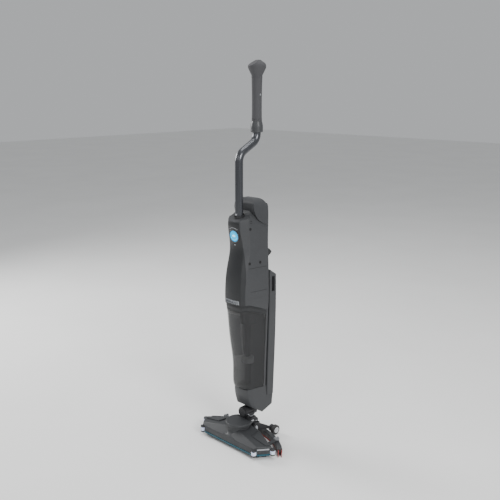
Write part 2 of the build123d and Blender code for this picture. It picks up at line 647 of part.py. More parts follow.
with BuildPart() as tank_float:
    with Locations((0, PIPE_Y, FLOAT_LOW)):
        Cylinder(19, 22, align=(Align.CENTER, Align.CENTER, Align.MIN))
    fillet(tank_float.edges().filter_by(GeomType.CIRCLE), radius=4)
    with Locations((0, PIPE_Y, FLOAT_LOW)):
        Cylinder(9.5, 30, align=(Align.CENTER, Align.CENTER, Align.MIN), mode=Mode.SUBTRACT)
save(tank_float, "tank_float")

# rear clean water tank: half width at its front, half width and Y of its bevel, and its back
CLEAN = [
    (SHELF_Z + 0.3, 48, 52, 70, 79),
    (310, 52, 55.5, 73, 82.5),
    (452, 55.5, 57.5, 74, 84),
    (CLEAN_TOP, 56, 56.5, 73, 83),
]
CLEAN_BACK_HALF = 36
SHOULDER = Plane(origin=(0, CLEAN_FRONT, CLEAN_TOP), z_dir=(0, 0.7, 1))


def clean_form(inset=0.0):
    """The clean tank's body: a shallow bevelled box that widens upwards."""
    with BuildPart() as body:
        for z, front_half, bevel_half, bevel_y, back_y in CLEAN:
            with BuildSketch(Plane.XY.offset(z)) as outline:
                with BuildLine():
                    Polyline(
                        (-front_half, CLEAN_FRONT),
                        (front_half, CLEAN_FRONT),
                        (bevel_half, bevel_y),
                        (CLEAN_BACK_HALF, back_y),
                        (-CLEAN_BACK_HALF, back_y),
                        (-bevel_half, bevel_y),
                        close=True,
                    )
                make_face()
                fillet(outline.vertices(), radius=4)
                if inset:
                    offset(amount=-inset)
        loft()
    return body.part


SCOOP_LOW, SCOOP_HIGH = 500, 548
CAP_Y = 64


def scoops(grow):
    """The two finger scoops in the tank's sides, optionally with their wall."""
    with BuildPart() as pair:
        for side in (1, -1):
            with Locations((side * 60, 60, (SCOOP_LOW + SCOOP_HIGH) / 2)):
                Box(28 + 2 * grow, 13 + 2 * grow, SCOOP_HIGH - SCOOP_LOW + 2 * grow)
    return pair.part


with BuildPart() as clean_tank:
    add(clean_form())
    split(bisect_by=SHOULDER, keep=Keep.BOTTOM)
    with BuildPart(mode=Mode.PRIVATE) as clean_inside:
        add(clean_form(WALL))
        split(bisect_by=SHOULDER.offset(-WALL), keep=Keep.BOTTOM)
        add(block(80, 0, 100, 0, SHELF_Z + 3), mode=Mode.SUBTRACT)
        add(scoops(WALL), mode=Mode.SUBTRACT)
    add(clean_inside.part, mode=Mode.SUBTRACT)
    add(scoops(0), mode=Mode.SUBTRACT)
    cap_seat = Plane(origin=(0, CAP_Y, CLEAN_TOP - 0.7 * (CAP_Y - CLEAN_FRONT)), z_dir=(0, 0.7, 1))
    with Locations(cap_seat):
        Cylinder(8 + RUN, 20, mode=Mode.SUBTRACT)
save(clean_tank, "clean_tank")

with BuildPart() as clean_tank_cap:
    with Locations(cap_seat.offset(0.2)):
        Cylinder(11, 5, align=(Align.CENTER, Align.CENTER, Align.MIN))
        Cylinder(8, 5, align=(Align.CENTER, Align.CENTER, Align.MAX))
    with Locations(cap_seat.offset(5)):
        Box(16, 3, 5, align=(Align.CENTER, Align.CENTER, Align.MIN))
save(clean_tank_cap, "clean_tank_cap")

# ---------------------------------------------------------------- housing
# The crown swells up behind the tube; the battery cap sits on it along a curved seam.
CROWN_SIDE = [(-74, 690), (-66, 720), (-57, 733), (-42, 738.5), (-25, 744), (-12, 759), (2, 764)]
CROWN_FRONT = [(54, 694), (44, 724), (31, 752), (0, 764.5)]
SEAM_LINE = [(-13, 768), (-8, 750), (6, 730), (27, 718.5), (62, 711)]
DOME_FRONT = [(52, 690), (49, 745), (43, 775), (29, 791.5), (0, 796.5)]


def mirrored(points):
    """A row of points that ends on the middle line, continued on the other side."""
    return points + [(-x, z) for x, z in reversed(points[:-1])]


def crest(points, base):
    """A long bar along Y under a smooth symmetrical crest."""
    row = mirrored(points)
    with BuildPart() as bar:
        with BuildSketch(Plane.XZ):
            with BuildLine():
                Spline(*row)
                Polyline(row[-1], (row[-1][0], base), (row[0][0], base), row[0])
            make_face()
        extrude(amount=120, both=True)
    return bar.part


def crown(inset):
    """Everything under the housing's crown and nose."""
    side_row = [(y, z - inset) for y, z in CROWN_SIDE]
    with BuildPart() as slab:
        with BuildSketch(Plane.YZ):
            with BuildLine():
                Spline(*side_row)
                Polyline(side_row[-1], (80, side_row[-1][1]), (80, 390), (side_row[0][0], 390), side_row[0])
            make_face()
        extrude(amount=80, both=True)
        low = CROWN_FRONT[0]
        front_row = [(90, 600)] + [(max(x - inset, 0), z - inset) for x, z in CROWN_FRONT]
        row = mirrored(front_row)
        with BuildPart(mode=Mode.PRIVATE) as bar:
            with BuildSketch(Plane.XZ):
                with BuildLine():
                    Spline(*row[1:-1])
                    Polyline(row[-2], row[-1], (-90, 390), (90, 390), row[0], row[1])
                make_face()
            extrude(amount=120, both=True)
        add(bar.part, mode=Mode.INTERSECT)
    return slab.part


def under_seam(gap):
    """Everything in front of and below the battery cap's seam, grown by a gap."""
    row = [(y + gap, z + gap) for y, z in SEAM_LINE]
    with BuildPart() as slab:
        with BuildSketch(Plane.YZ):
            with BuildLine():
                Spline(*row)
                Polyline(row[-1], (row[-1][0], 390), (-95, 390), (-95, 820), (row[0][0], 820), row[0])
            make_face()
        extrude(amount=80, both=True)
    return slab.part


def housing_shell():
    """The upper housing as one thin shell, open below and under the battery cap."""
    with BuildPart() as shell:
        add(form(HOUSING_ROWS))
        add(crown(0), mode=Mode.INTERSECT)
        with BuildPart(mode=Mode.PRIVATE) as inside:
            add(form(HOUSING_ROWS, WALL))
            add(crown(WALL), mode=Mode.INTERSECT)
        add(inside.part, mode=Mode.SUBTRACT)
        add(under_seam(0), mode=Mode.INTERSECT)
        add(under_lip(0), mode=Mode.SUBTRACT)
        # open the crown under the battery cap
        add(block(34, -6.5, 42, 690, 800), mode=Mode.SUBTRACT)
        # hole for the tube and its ferrule
        with Locations((0, TUBE_Y, 750)):
            Cylinder(16.3, 150, mode=Mode.SUBTRACT)
    return shell.part


PANEL_EDGE = [(41, 530), (37.5, 590), (28.5, 645), (24.5, 690), (22.5, 727)]


def panel_prism(grow):
    """The front strip of the housing that the front panel fills: wide below, narrow at the top."""
    right = [(x + grow, z + grow) for x, z in PANEL_EDGE]
    left = [(-x, z) for x, z in reversed(right)]
    with BuildPart() as prism:
        with BuildSketch(Plane.XZ.offset(30)):
            with BuildLine():
                Spline(*right)
                Spline(*left)
                Line(right[-1], left[0])
                Polyline(left[-1], (-40 - grow, 440), (40 + grow, 440), right[0])
            make_face()
        extrude(amount=60)
    return prism.part


# Housing screws: Y and Z, then along X where the boss starts, where the tip ends and where the head sits.
SCREWS = [
    (-29, 708, 20, 14, 38.5),
    (-32, 602, 0.4, -16, 38.5),
    (8, 601, 0.4, -16, 45.5),
    (-10, 508, 0.4, -16, 45),
]
LATCH_HALF, LATCH_LOW, LATCH_HIGH = 28, 475.6, 487
button_face = Plane(
    origin=(0, BUTTON_SURFACE_Y, BUTTON_Z),
    x_dir=(1, 0, 0),
    z_dir=(0, -cos(radians(PANEL_LEAN)), -sin(radians(PANEL_LEAN))),
)
upper_shell = housing_shell()

with BuildPart() as front_panel:
    add(upper_shell)
    add(panel_prism(0), mode=Mode.INTERSECT)
    with Locations(button_face):
        Cylinder(20.5, 30, mode=Mode.SUBTRACT)
    # slot for the tank latch
    add(block(LATCH_HALF + 0.4, -100, -30, LATCH_LOW - 0.4, LATCH_HIGH + 0.4), mode=Mode.SUBTRACT)
save(front_panel, "front_panel")

with BuildPart() as housing_skirt:
    add(upper_shell)
    add(block(80, -100, 100, 400, SKIRT_TOP - 0.2), mode=Mode.INTERSECT)
    with BuildPart(mode=Mode.PRIVATE) as floor:
        add(form(HOUSING_ROWS, WALL).intersect(block(80, -50, SPINE_FRONT, 400, 500)))
        add(under_lip(3), mode=Mode.INTERSECT)
        add(under_lip(0), mode=Mode.SUBTRACT)
    add(floor.part)
    add(panel_prism(0.3), mode=Mode.SUBTRACT)
    with Locations((0, -4, 455)):
        Cylinder(20, 60, mode=Mode.SUBTRACT)
save(housing_skirt, "housing_skirt")

for side, side_name in ((1, "left"), (-1, "right")):
    with BuildPart() as upper_housing:
        add(upper_shell)
        add(panel_prism(0.3), mode=Mode.SUBTRACT)
        with Locations((side * 40.05, 0, 650)):
            Box(80, 200, 2 * (650 - SKIRT_TOP), mode=Mode.INTERSECT)
        add(block(6.3, 40, 50, 619.5, 636.4), mode=Mode.SUBTRACT)
        for y, z, boss_start, tip, seat in SCREWS:
            with BuildPart(mode=Mode.PRIVATE) as boss:
                with Locations(Plane(origin=(side * boss_start, y, z), z_dir=(side, 0, 0))):
                    Cylinder(4, 60, align=(Align.CENTER, Align.CENTER, Align.MIN))
                add(form(HOUSING_ROWS, 1), mode=Mode.INTERSECT)
            add(boss.part)
            with Locations((0, y, z)):
                Cylinder(1.55, 36 if side < 0 else 200, rotation=(0, 90, 0), mode=Mode.SUBTRACT)
            if side == 1:
                with Locations(Plane(origin=(seat - 0.1, y, z), z_dir=(1, 0, 0))):
                    Cylinder(3.2, 60, align=(Align.CENTER, Align.CENTER, Align.MIN), mode=Mode.SUBTRACT)
    save(upper_housing, f"upper_housing_{side_name}")

with BuildPart() as housing_screws:
    for y, z, boss_start, tip, seat in SCREWS:
        with Locations(Plane(origin=(seat, y, z), z_dir=(1, 0, 0))):
            Cylinder(1.5, seat - tip, align=(Align.CENTER, Align.CENTER, Align.MAX))
            Cylinder(2.9, 2, align=(Align.CENTER, Align.CENTER, Align.MIN))
save(housing_screws, "housing_screws")

# ---------------------------------------------------------------- controls
with BuildPart() as button_bezel:
    with BuildSketch(button_face.offset(1.4)):
        Circle(20.2)
        Circle(BUTTON_R + 0.4, mode=Mode.SUBTRACT)
    extrude(amount=-4.4)
    fillet(button_bezel.edges().filter_by(GeomType.CIRCLE).filter_by(lambda e: e.radius > 20).sort_by(Axis.Y)[0],
           radius=0.8)
save(button_bezel, "button_bezel")

with BuildPart() as start_button:
    with BuildSketch(button_face.offset(0.9)):
        Circle(BUTTON_R)
    extrude(amount=-3)
    fillet(start_button.edges().filter_by(GeomType.CIRCLE).sort_by(Axis.Y)[0], radius=0.6)
save(start_button, "start_button")

with BuildPart() as control_board:
    with Locations((0, -47.3, 689)):
        Box(26, 1.4, 46)
    with Locations((8, -48.6, 704)):
        Box(8, 1.2, 6)
save(control_board, "control_board")

with BuildPart() as tank_latch:
    add(form(HOUSING_ROWS, -0.8))
    add(form(HOUSING_ROWS, WALL + 2.3), mode=Mode.SUBTRACT)
    add(block(LATCH_HALF, -100, -30, LATCH_LOW, LATCH_HIGH), mode=Mode.INTERSECT)
    # flange that keeps the latch behind the panel
    with BuildPart(mode=Mode.PRIVATE) as latch_flange:
        add(form(HOUSING_ROWS, WALL + 0.3))
        add(form(HOUSING_ROWS, WALL + 2.3), mode=Mode.SUBTRACT)
        add(block(LATCH_HALF + 2, -100, -30, LATCH_LOW, LATCH_HIGH + 1.6), mode=Mode.INTERSECT)
    add(latch_flange.part)
save(tank_latch, "tank_latch")

with BuildPart() as vacuum_motor:
    with Locations((0, 9, 512)):
        Cylinder(29, 24, align=(Align.CENTER, Align.CENTER, Align.MIN))
    with Locations((0, 9, 535)):
        Cylinder(21, 36, align=(Align.CENTER, Align.CENTER, Align.MIN))
    with Locations((0, 9, 500)):
        Cylinder(12, 14, align=(Align.CENTER, Align.CENTER, Align.MIN))
save(vacuum_motor, "vacuum_motor")

# ---------------------------------------------------------------- battery
with BuildPart() as battery_dome:
    add(form(HOUSING_ROWS))
    with BuildSketch(Plane.YZ) as dome_side:
        with BuildLine():
            Line((-12.6, 700), (-12.6, 774))
            Spline((-12.6, 774), (-10, 786), (0, 793.5), (14, 796.3), (28, 794.5), (38.5, 786), (45, 771), (48.5, 748),
                   tangents=((0, 1), (0.1, -1)))
            Polyline((48.5, 748), (56, 700), (-12.6, 700))
        make_face()
    extrude(amount=80, both=True, mode=Mode.INTERSECT)
    add(crest(DOME_FRONT, 600), mode=Mode.INTERSECT)
    add(under_seam(0.4), mode=Mode.SUBTRACT)
    add(block(33, -6, 39, 690, 772), mode=Mode.SUBTRACT)
save(battery_dome, "battery_dome")

with BuildPart() as battery_pack:
    add(block(32, -5, 38, 652, 771.5))
    fillet(battery_pack.edges().filter_by(Axis.Z), radius=4)
save(battery_pack, "battery_pack")

# wide catch across the back, held by a foot through the housing's wall
with BuildPart() as battery_latch:
    with BuildSketch(Plane.YZ.offset(-47)):
        with BuildLine():
            Polyline((44.6, 612), (59, 622), (61.5, 627), (50, 637.5), (44.6, 639), close=True)
        make_face()
    extrude(amount=94)
    fillet(battery_latch.edges().filter_by(Axis.X), radius=1.5)
    add(block(6, 40.5, 46, 626, 636))
    add(block(9.5, 38.2, 41.2, 623, 639))
save(battery_latch, "battery_latch")

# ---------------------------------------------------------------- handle
with BuildPart() as tube_socket:
    with Locations((0, TUBE_Y, 714)):
        Cylinder(16, 31, align=(Align.CENTER, Align.CENTER, Align.MIN))
    with Locations((0, TUBE_Y, 708)):
        Box(39, 14, 14)
    with Locations((0, TUBE_Y, 700)):
        Cylinder(TUBE_R + 0.1, 200, mode=Mode.SUBTRACT)
    with Locations((0, TUBE_Y - 14, 751)):
        Box(7.4, 16, 17, mode=Mode.SUBTRACT)
    with Locations((0, *SCREWS[0][:2])):
        Cylinder(1.55, 100, rotation=(0, 90, 0), mode=Mode.SUBTRACT)
save(tube_socket, "tube_socket")

with BuildPart() as handle_tube:
    with BuildLine() as tube_path:
        FilletPolyline((0, TUBE_Y, TUBE_END), (0, TUBE_Y, TUBE_KNEE), (0, GRIP_Y, TUBE_SHOULDER),
                       (0, GRIP_Y, TUBE_TOP), radius=TUBE_BEND_R)
    with BuildSketch(Plane(origin=(0, TUBE_Y, TUBE_END), z_dir=(0, 0, 1))):
        Circle(TUBE_R)
        Circle(TUBE_R - TUBE_WALL, mode=Mode.SUBTRACT)
    sweep()
    with Locations(Plane(origin=(0, TUBE_Y - 10, 749), z_dir=(0, 1, 0))):
        Cylinder(3 + RUN, 8, mode=Mode.SUBTRACT)
save(handle_tube, "handle_tube")

with BuildPart() as snap_button:
    with Locations(Plane(origin=(0, TUBE_Y - TUBE_R - 1.8, 749), z_dir=(0, 1, 0))):
        Cylinder(3, 7, align=(Align.CENTER, Align.CENTER, Align.MIN))
    fillet(snap_button.edges().filter_by(GeomType.CIRCLE).group_by(Axis.Y)[0], radius=1)
save(snap_button, "snap_button")

with BuildPart() as grip_collar:
    with BuildSketch(Plane.XZ.offset(-GRIP_Y)):
        with BuildLine():
            Polyline((15.6, GRIP_LOW - 0.2), (TUBE_R, GRIP_LOW - 0.2), (TUBE_R, 990), (17.6, 990), (18.8, 992.5),
                     (18.8, 1005))
            Spline((18.8, 1005), (18, 1013), (15.6, GRIP_LOW - 0.2), tangents=((0, 1), (-0.35, 1)))
        make_face()
    revolve(axis=Axis((0, GRIP_Y, 0), (0, 0, 1)))
save(grip_collar, "grip_collar")

with BuildPart() as grip_sleeve:
    with BuildSketch(Plane.XZ.offset(-GRIP_Y)):
        with BuildLine():
            Polyline((TUBE_R, GRIP_LOW), (15.4, GRIP_LOW))
            Spline((15.4, GRIP_LOW), (14.9, 1060), (15.2, 1110), (16.4, GRIP_TOP - 0.2))
            Polyline((16.4, GRIP_TOP - 0.2), (TUBE_R, GRIP_TOP - 0.2), (TUBE_R, GRIP_LOW))
        make_face()
    revolve(axis=Axis((0, GRIP_Y, 0), (0, 0, 1)))
    with Locations(Plane(origin=(17, GRIP_Y, 1100), z_dir=(1, 0, 0))):
        Cylinder(3.2, 10, mode=Mode.SUBTRACT)
save(grip_sleeve, "grip_sleeve")

with BuildPart() as grip_screw:
    with Locations(Plane(origin=(TUBE_R + 0.3, GRIP_Y, 1100), z_dir=(1, 0, 0))):
        Cylinder(2.9, 1.8, align=(Align.CENTER, Align.CENTER, Align.MIN))
        Cylinder(1.1, 2, mode=Mode.SUBTRACT)
save(grip_screw, "grip_screw")

with BuildPart() as grip_knob:
    with BuildSketch(Plane.XZ.offset(-GRIP_Y)):
        with BuildLine():
            Polyline((0, GRIP_TOP), (16.6, GRIP_TOP), (25, 1173))
            Spline((25, 1173), (27.2, 1181), (24, 1190), (13, 1198), (0, HANDLE_TOP), tangents=((0.45, 1), (-1, 0)))
            Line((0, HANDLE_TOP), (0, GRIP_TOP))
        make_face()
    revolve(axis=Axis((0, GRIP_Y, 0), (0, 0, 1)))
    split(bisect_by=Plane(origin=(0, GRIP_Y - 22, 1186), z_dir=(-0.25, -0.62, 1)), keep=Keep.BOTTOM)
save(grip_knob, "grip_knob")
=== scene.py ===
"""Wet dry floor scrubber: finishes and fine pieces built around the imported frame."""

import json
from math import cos, pi, radians, sin

import bmesh
import bpy
from bpy.props import FloatProperty, FloatVectorProperty, IntProperty, PointerProperty
from mathutils import Matrix, Vector


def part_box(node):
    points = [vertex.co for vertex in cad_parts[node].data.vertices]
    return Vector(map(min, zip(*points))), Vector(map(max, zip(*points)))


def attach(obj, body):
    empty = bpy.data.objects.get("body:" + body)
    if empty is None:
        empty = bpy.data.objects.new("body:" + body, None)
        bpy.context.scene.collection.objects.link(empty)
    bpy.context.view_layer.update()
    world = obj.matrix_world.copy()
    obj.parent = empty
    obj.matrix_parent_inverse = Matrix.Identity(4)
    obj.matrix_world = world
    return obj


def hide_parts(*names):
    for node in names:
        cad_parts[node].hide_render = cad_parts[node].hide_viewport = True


bl_info = {
    "name": "Floor Scrubber Builder",
    "version": (1, 0, 0),
    "blender": (4, 5, 0),
    "location": "View3D > Sidebar > Scrubber",
    "description": "Builds the finishes and the fine pieces of an upright wet dry floor scrubber",
    "category": "Object",
}

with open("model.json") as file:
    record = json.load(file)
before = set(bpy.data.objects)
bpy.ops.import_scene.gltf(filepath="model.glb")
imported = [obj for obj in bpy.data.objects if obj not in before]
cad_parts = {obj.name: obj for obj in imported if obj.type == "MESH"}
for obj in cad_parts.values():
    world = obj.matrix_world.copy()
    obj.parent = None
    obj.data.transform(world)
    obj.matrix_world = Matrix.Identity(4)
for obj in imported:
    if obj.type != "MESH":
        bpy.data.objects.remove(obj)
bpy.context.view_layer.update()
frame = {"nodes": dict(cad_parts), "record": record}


# ---------------------------------------------------------------- places read from the frame
def centre_of(node):
    low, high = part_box(node)
    return (Vector(low) + Vector(high)) / 2


DECK_CORNERS = [centre_of(f"bumper_roller_{name}") for name in
                ("front_right", "front_left", "rear_left", "rear_right")]
BUTTON_CENTRE = centre_of("start_button")
PANEL_LEAN = radians(7.3)
FRONTWARDS = Vector((0, -1, 0))
BACKWARDS = Vector((0, 1, 0))
GRIP_AXIS_Y = centre_of("grip_sleeve").y


# ---------------------------------------------------------------- what a user would change
class ScrubberColours(bpy.types.PropertyGroup):
    """Base colours of the finishes."""

    body: FloatVectorProperty(name="Body", description="Housing, boot and clean tank plastic",
                              subtype="COLOR", size=3, default=(0.043, 0.0445, 0.0475), min=0, max=1)
    deck: FloatVectorProperty(name="Deck", description="Deck shell plastic",
                              subtype="COLOR", size=3, default=(0.034, 0.0355, 0.038), min=0, max=1)
    panel: FloatVectorProperty(name="Panel", description="Front panel plastic",
                               subtype="COLOR", size=3, default=(0.019, 0.020, 0.0215), min=0, max=1)
    strip: FloatVectorProperty(name="Bumper strip", description="Teal strip along the deck's lower edge",
                               subtype="COLOR", size=3, default=(0.012, 0.075, 0.105), min=0, max=1)
    display: FloatVectorProperty(name="Display", description="Lit round display button",
                                 subtype="COLOR", size=3, default=(0.0, 0.44, 0.78), min=0, max=1)
    blade: FloatVectorProperty(name="Blade", description="Squeegee blades",
                               subtype="COLOR", size=3, default=(0.33, 0.055, 0.05), min=0, max=1)
    smoke: FloatVectorProperty(name="Smoke", description="Tint of the clear recovery tank",
                               subtype="COLOR", size=3, default=(0.013, 0.0135, 0.015), min=0, max=1)


class ScrubberSizes(bpy.types.PropertyGroup):
    """Sizes of the fine pieces."""

    tuft_spacing: FloatProperty(name="Tuft spacing", description="Distance between tufts along a row",
                                default=0.0048, min=0.002, unit="LENGTH")
    rib_spacing: FloatProperty(name="Rib spacing", description="Distance between the collar's ribs",
                               default=0.0042, min=0.002, unit="LENGTH")
    latch_spacing: FloatProperty(name="Latch rib spacing", description="Distance between the latch's ribs",
                                 default=0.0034, min=0.002, unit="LENGTH")
    vent_count: IntProperty(name="Vent slats", description="Slats of the air outlet", default=9, min=3)


# ---------------------------------------------------------------- material nodes
SPECULAR_LEVEL = 0.35
# Wave scale of the painted shade bands that fall between the latch's ribs.
LATCH_GAP_SHADE_SCALE = 92.4


class Finish:
    """A material's node tree under construction, reading Object coordinates in metres."""

    def __init__(self, name, colour, roughness, metallic=0.0):
        self.material = bpy.data.materials.new(name)
        self.material.use_nodes = True
        self.tree = self.material.node_tree
        self.shader = self.tree.nodes["Principled BSDF"]
        self.colour = (*colour[:3], 1.0)
        self.shader.inputs["Base Color"].default_value = self.colour
        self.shader.inputs["Roughness"].default_value = roughness
        self.shader.inputs["Metallic"].default_value = metallic
        self.shader.inputs["Specular IOR Level"].default_value = SPECULAR_LEVEL
        self.coords = self.tree.nodes.new("ShaderNodeTexCoord")

    def node(self, kind, **values):
        made = self.tree.nodes.new(kind)
        for key, value in values.items():
            setattr(made, key, value)
        return made

    def link(self, source, target):
        self.tree.links.new(source, target)

    def noise(self, scale, detail=3.0, stretch=(1, 1, 1)):
        """Noise on Object coordinates, optionally stretched."""
        mapping = self.node("ShaderNodeMapping")
        mapping.inputs["Scale"].default_value = stretch
        self.link(self.coords.outputs["Object"], mapping.inputs["Vector"])
        noise = self.node("ShaderNodeTexNoise")
        noise.inputs["Scale"].default_value = scale
        noise.inputs["Detail"].default_value = detail
        self.link(mapping.outputs["Vector"], noise.inputs["Vector"])
        return noise.outputs["Fac"]

    def spread(self, source, low, high, start=0.35, end=0.65):
        """A value range driven by a texture."""
        ramp = self.node("ShaderNodeMapRange")
        for key, value in (("From Min", start), ("From Max", end), ("To Min", low), ("To Max", high)):
            ramp.inputs[key].default_value = value
        self.link(source, ramp.inputs["Value"])
        return ramp.outputs["Result"]

    def shade(self, source, amount):
        """Vary the base colour's brightness by a texture, from 1 - amount to 1 + amount."""
        factor = self.spread(source, 1 - amount, 1 + amount)
        mix = self.node("ShaderNodeVectorMath", operation="SCALE")
        base = self.shader.inputs["Base Color"]
        if base.is_linked:
            self.link(base.links[0].from_socket, mix.inputs[0])
        else:
            mix.inputs[0].default_value = self.colour[:3]
        self.link(factor, mix.inputs["Scale"])
        self.link(mix.outputs["Vector"], base)

    def tint(self, factor, colour):
        """Blend the base colour towards another where the factor is high."""
        mix = self.node("ShaderNodeMix", data_type="RGBA")
        base = self.shader.inputs["Base Color"]
        if base.is_linked:
            self.link(base.links[0].from_socket, mix.inputs["A"])
        else:
            mix.inputs["A"].default_value = self.colour
        mix.inputs["B"].default_value = (*colour, 1)
        self.link(factor, mix.inputs["Factor"])
        self.link(mix.outputs["Result"], base)

    def height(self):
        """Height above the floor, in metres."""
        split = self.node("ShaderNodeSeparateXYZ")
        self.link(self.coords.outputs["Object"], split.inputs["Vector"])
        return split.outputs["Z"]

    def roughness(self, source, low, high):
        self.link(self.spread(source, low, high), self.shader.inputs["Roughness"])

    def bump(self, source, distance, strength=0.6):
        bump = self.node("ShaderNodeBump")
        bump.inputs["Distance"].default_value = distance
        bump.inputs["Strength"].default_value = strength
        previous = self.shader.inputs["Normal"]
        if previous.is_linked:
            self.link(previous.links[0].from_socket, bump.inputs["Normal"])
        self.link(source, bump.inputs["Height"])
        self.link(bump.outputs["Normal"], self.shader.inputs["Normal"])


def moulded_plastic(name, colour, roughness=0.42, grain=1500.0, grain_depth=0.00006):
    """Satin moulded plastic: spark grain, faint flow marks and handling smudges."""
    finish = Finish(name, colour, roughness)
    finish.shade(finish.noise(9.0, 4.0), 0.06)
    finish.shade(finish.noise(240.0, 2.0), 0.05)
    finish.roughness(finish.noise(14.0, 6.0, (1, 1, 0.45)), roughness - 0.07, roughness + 0.09)
    finish.bump(finish.noise(grain, 2.0), grain_depth)
    return finish


def body_plastic(colours):
    return moulded_plastic("body_plastic", colours.body, 0.40)


def deck_plastic(colours):
    """The deck's plastic, with floor dust and scuffs low down."""
    finish = moulded_plastic("deck_plastic", colours.deck, 0.42)
    scuff = finish.noise(60.0, 8.0, (1, 1, 3.5))
    low_band = finish.spread(finish.height(), 0.35, 0.0, 0.012, 0.034)
    worn = finish.node("ShaderNodeMath", operation="MULTIPLY")
    finish.link(low_band, worn.inputs[0])
    finish.link(finish.spread(scuff, 0.0, 1.0, 0.5, 0.68), worn.inputs[1])
    finish.tint(worn.outputs["Value"], (0.20, 0.20, 0.19))
    return finish


def panel_plastic(colours):
    return moulded_plastic("panel_plastic", colours.panel, 0.34, 2600.0, 0.00003)


# Dark inner plastic, also the painted shade of the air outlet's slots.
def inner_plastic(colours):
    return moulded_plastic("inner_plastic", (0.022, 0.022, 0.024), 0.55)


def strip_plastic(colours):
    finish = moulded_plastic("strip_plastic", colours.strip, 0.38)
    finish.tint(finish.spread(finish.noise(90.0, 8.0), 0.0, 0.3, 0.55, 0.75), (0.10, 0.15, 0.17))
    return finish


def roller_plastic(colours):
    finish = moulded_plastic("roller_plastic", (0.66, 0.74, 0.92), 0.3)
    finish.shader.inputs["Subsurface Weight"].default_value = 0.15
    finish.shader.inputs["Subsurface Scale"].default_value = 0.004
    return finish


def hub_plastic(colours):
    return moulded_plastic("hub_plastic", (0.66, 0.67, 0.68), 0.4)


def knob_plastic(colours):
    return moulded_plastic("knob_plastic", (0.20, 0.205, 0.215), 0.4)


def latch_plastic(colours):
    """Silvered plastic with painted shade: dark bands between the latch's ribs."""
    finish = moulded_plastic("latch_plastic", (0.42, 0.44, 0.47), 0.26)
    # Painted shade: dark bands along X in the gaps between the latch's ribs.
    bands = finish.node("ShaderNodeTexWave", wave_type="BANDS", bands_direction="X")
    bands.inputs["Scale"].default_value = LATCH_GAP_SHADE_SCALE
    finish.link(finish.coords.outputs["Object"], bands.inputs["Vector"])
    finish.tint(finish.spread(bands.outputs["Fac"], 0.0, 0.85, 0.45, 0.6), (0.03, 0.03, 0.035))
    finish.shader.inputs["Metallic"].default_value = 0.6
    return finish


def bezel_plastic(colours):
    finish = moulded_plastic("bezel_plastic", (0.03, 0.033, 0.038), 0.16, 800.0, 0.00001)
    finish.shader.inputs["Coat Weight"].default_value = 0.6
    return finish


def soft_rubber(name, colour, roughness=0.68):
    """Rubber: dusty bloom and a soft pebble."""
    finish = Finish(name, colour, roughness)
    finish.shade(finish.noise(30.0, 6.0), 0.14)
    finish.roughness(finish.noise(40.0, 4.0), roughness - 0.08, roughness + 0.12)
    finish.bump(finish.noise(900.0, 3.0), 0.00012)
    return finish


def tyre_rubber(colours):
    finish = soft_rubber("tyre_rubber", (0.022, 0.022, 0.024), 0.75)
    finish.tint(finish.spread(finish.noise(70.0, 8.0), 0.0, 0.5, 0.5, 0.7), (0.10, 0.098, 0.092))
    return finish


def grip_rubber(colours):
    return soft_rubber("grip_rubber", (0.092, 0.095, 0.100), 0.5)


def blade_rubber(colours):
    finish = soft_rubber("blade_rubber", colours.blade, 0.5)
    finish.tint(finish.spread(finish.height(), 0.45, 0.0, 0.0, 0.007), (0.12, 0.03, 0.028))
    return finish


def bristle_nylon(colours):
    finish = soft_rubber("bristle_nylon", (0.085, 0.086, 0.09), 0.6)
    finish.shade(finish.noise(420.0, 2.0, (1, 1, 0.08)), 0.4)
    return finish


def coated_tube(colours):
    """Dark coated tube: a glossy coat over fine drawn lines."""
    finish = Finish("coated_tube", (0.060, 0.063, 0.071), 0.3, 0.65)
    finish.shade(finish.noise(30.0, 4.0, (1, 1, 0.1)), 0.10)
    finish.roughness(finish.noise(500.0, 3.0, (1, 1, 0.03)), 0.22, 0.34)
    finish.bump(finish.noise(1800.0, 2.0, (1, 1, 0.05)), 0.00002)
    finish.shader.inputs["Coat Weight"].default_value = 0.5
    finish.shader.inputs["Coat Roughness"].default_value = 0.12
    return finish


def turned_steel(colours):
    finish = Finish("turned_steel", (0.60, 0.61, 0.63), 0.3, 1.0)
    finish.shade(finish.noise(60.0, 5.0), 0.10)
    finish.roughness(finish.noise(900.0, 3.0, (0.1, 1, 1)), 0.22, 0.40)
    finish.bump(finish.noise(1400.0, 2.0, (0.1, 1, 1)), 0.00002)
    return finish


def black_steel(colours):
    """Blackened steel of screw heads, also the painted shade of the screw wells and grooves."""
    finish = Finish("black_steel", (0.004, 0.004, 0.0045), 0.6)
    finish.shade(finish.noise(900.0, 2.0), 0.2)
    return finish


def plated_can(colours):
    finish = Finish("plated_can", (0.30, 0.31, 0.33), 0.35, 0.9)
    finish.shade(finish.noise(40.0, 5.0), 0.10)
    finish.roughness(finish.noise(80.0, 4.0), 0.28, 0.44)
    return finish


def smoke_clear(colours):
    """Smoke-clear plastic of the recovery tank, lightly scratched."""
    finish = Finish("smoke_clear", colours.smoke, 0.12)
    finish.shade(finish.noise(6.0, 3.0), 0.05)
    finish.shade(finish.noise(70.0, 2.0, (1, 1, 0.02)), 0.16)
    finish.roughness(finish.noise(30.0, 3.0, (1, 1, 0.3)), 0.16, 0.26)
    finish.shader.inputs["Alpha"].default_value = 0.6
    finish.shader.inputs["IOR"].default_value = 1.5
    finish.shader.inputs["Coat Weight"].default_value = 0.4
    finish.material.surface_render_method = "BLENDED"
    return finish


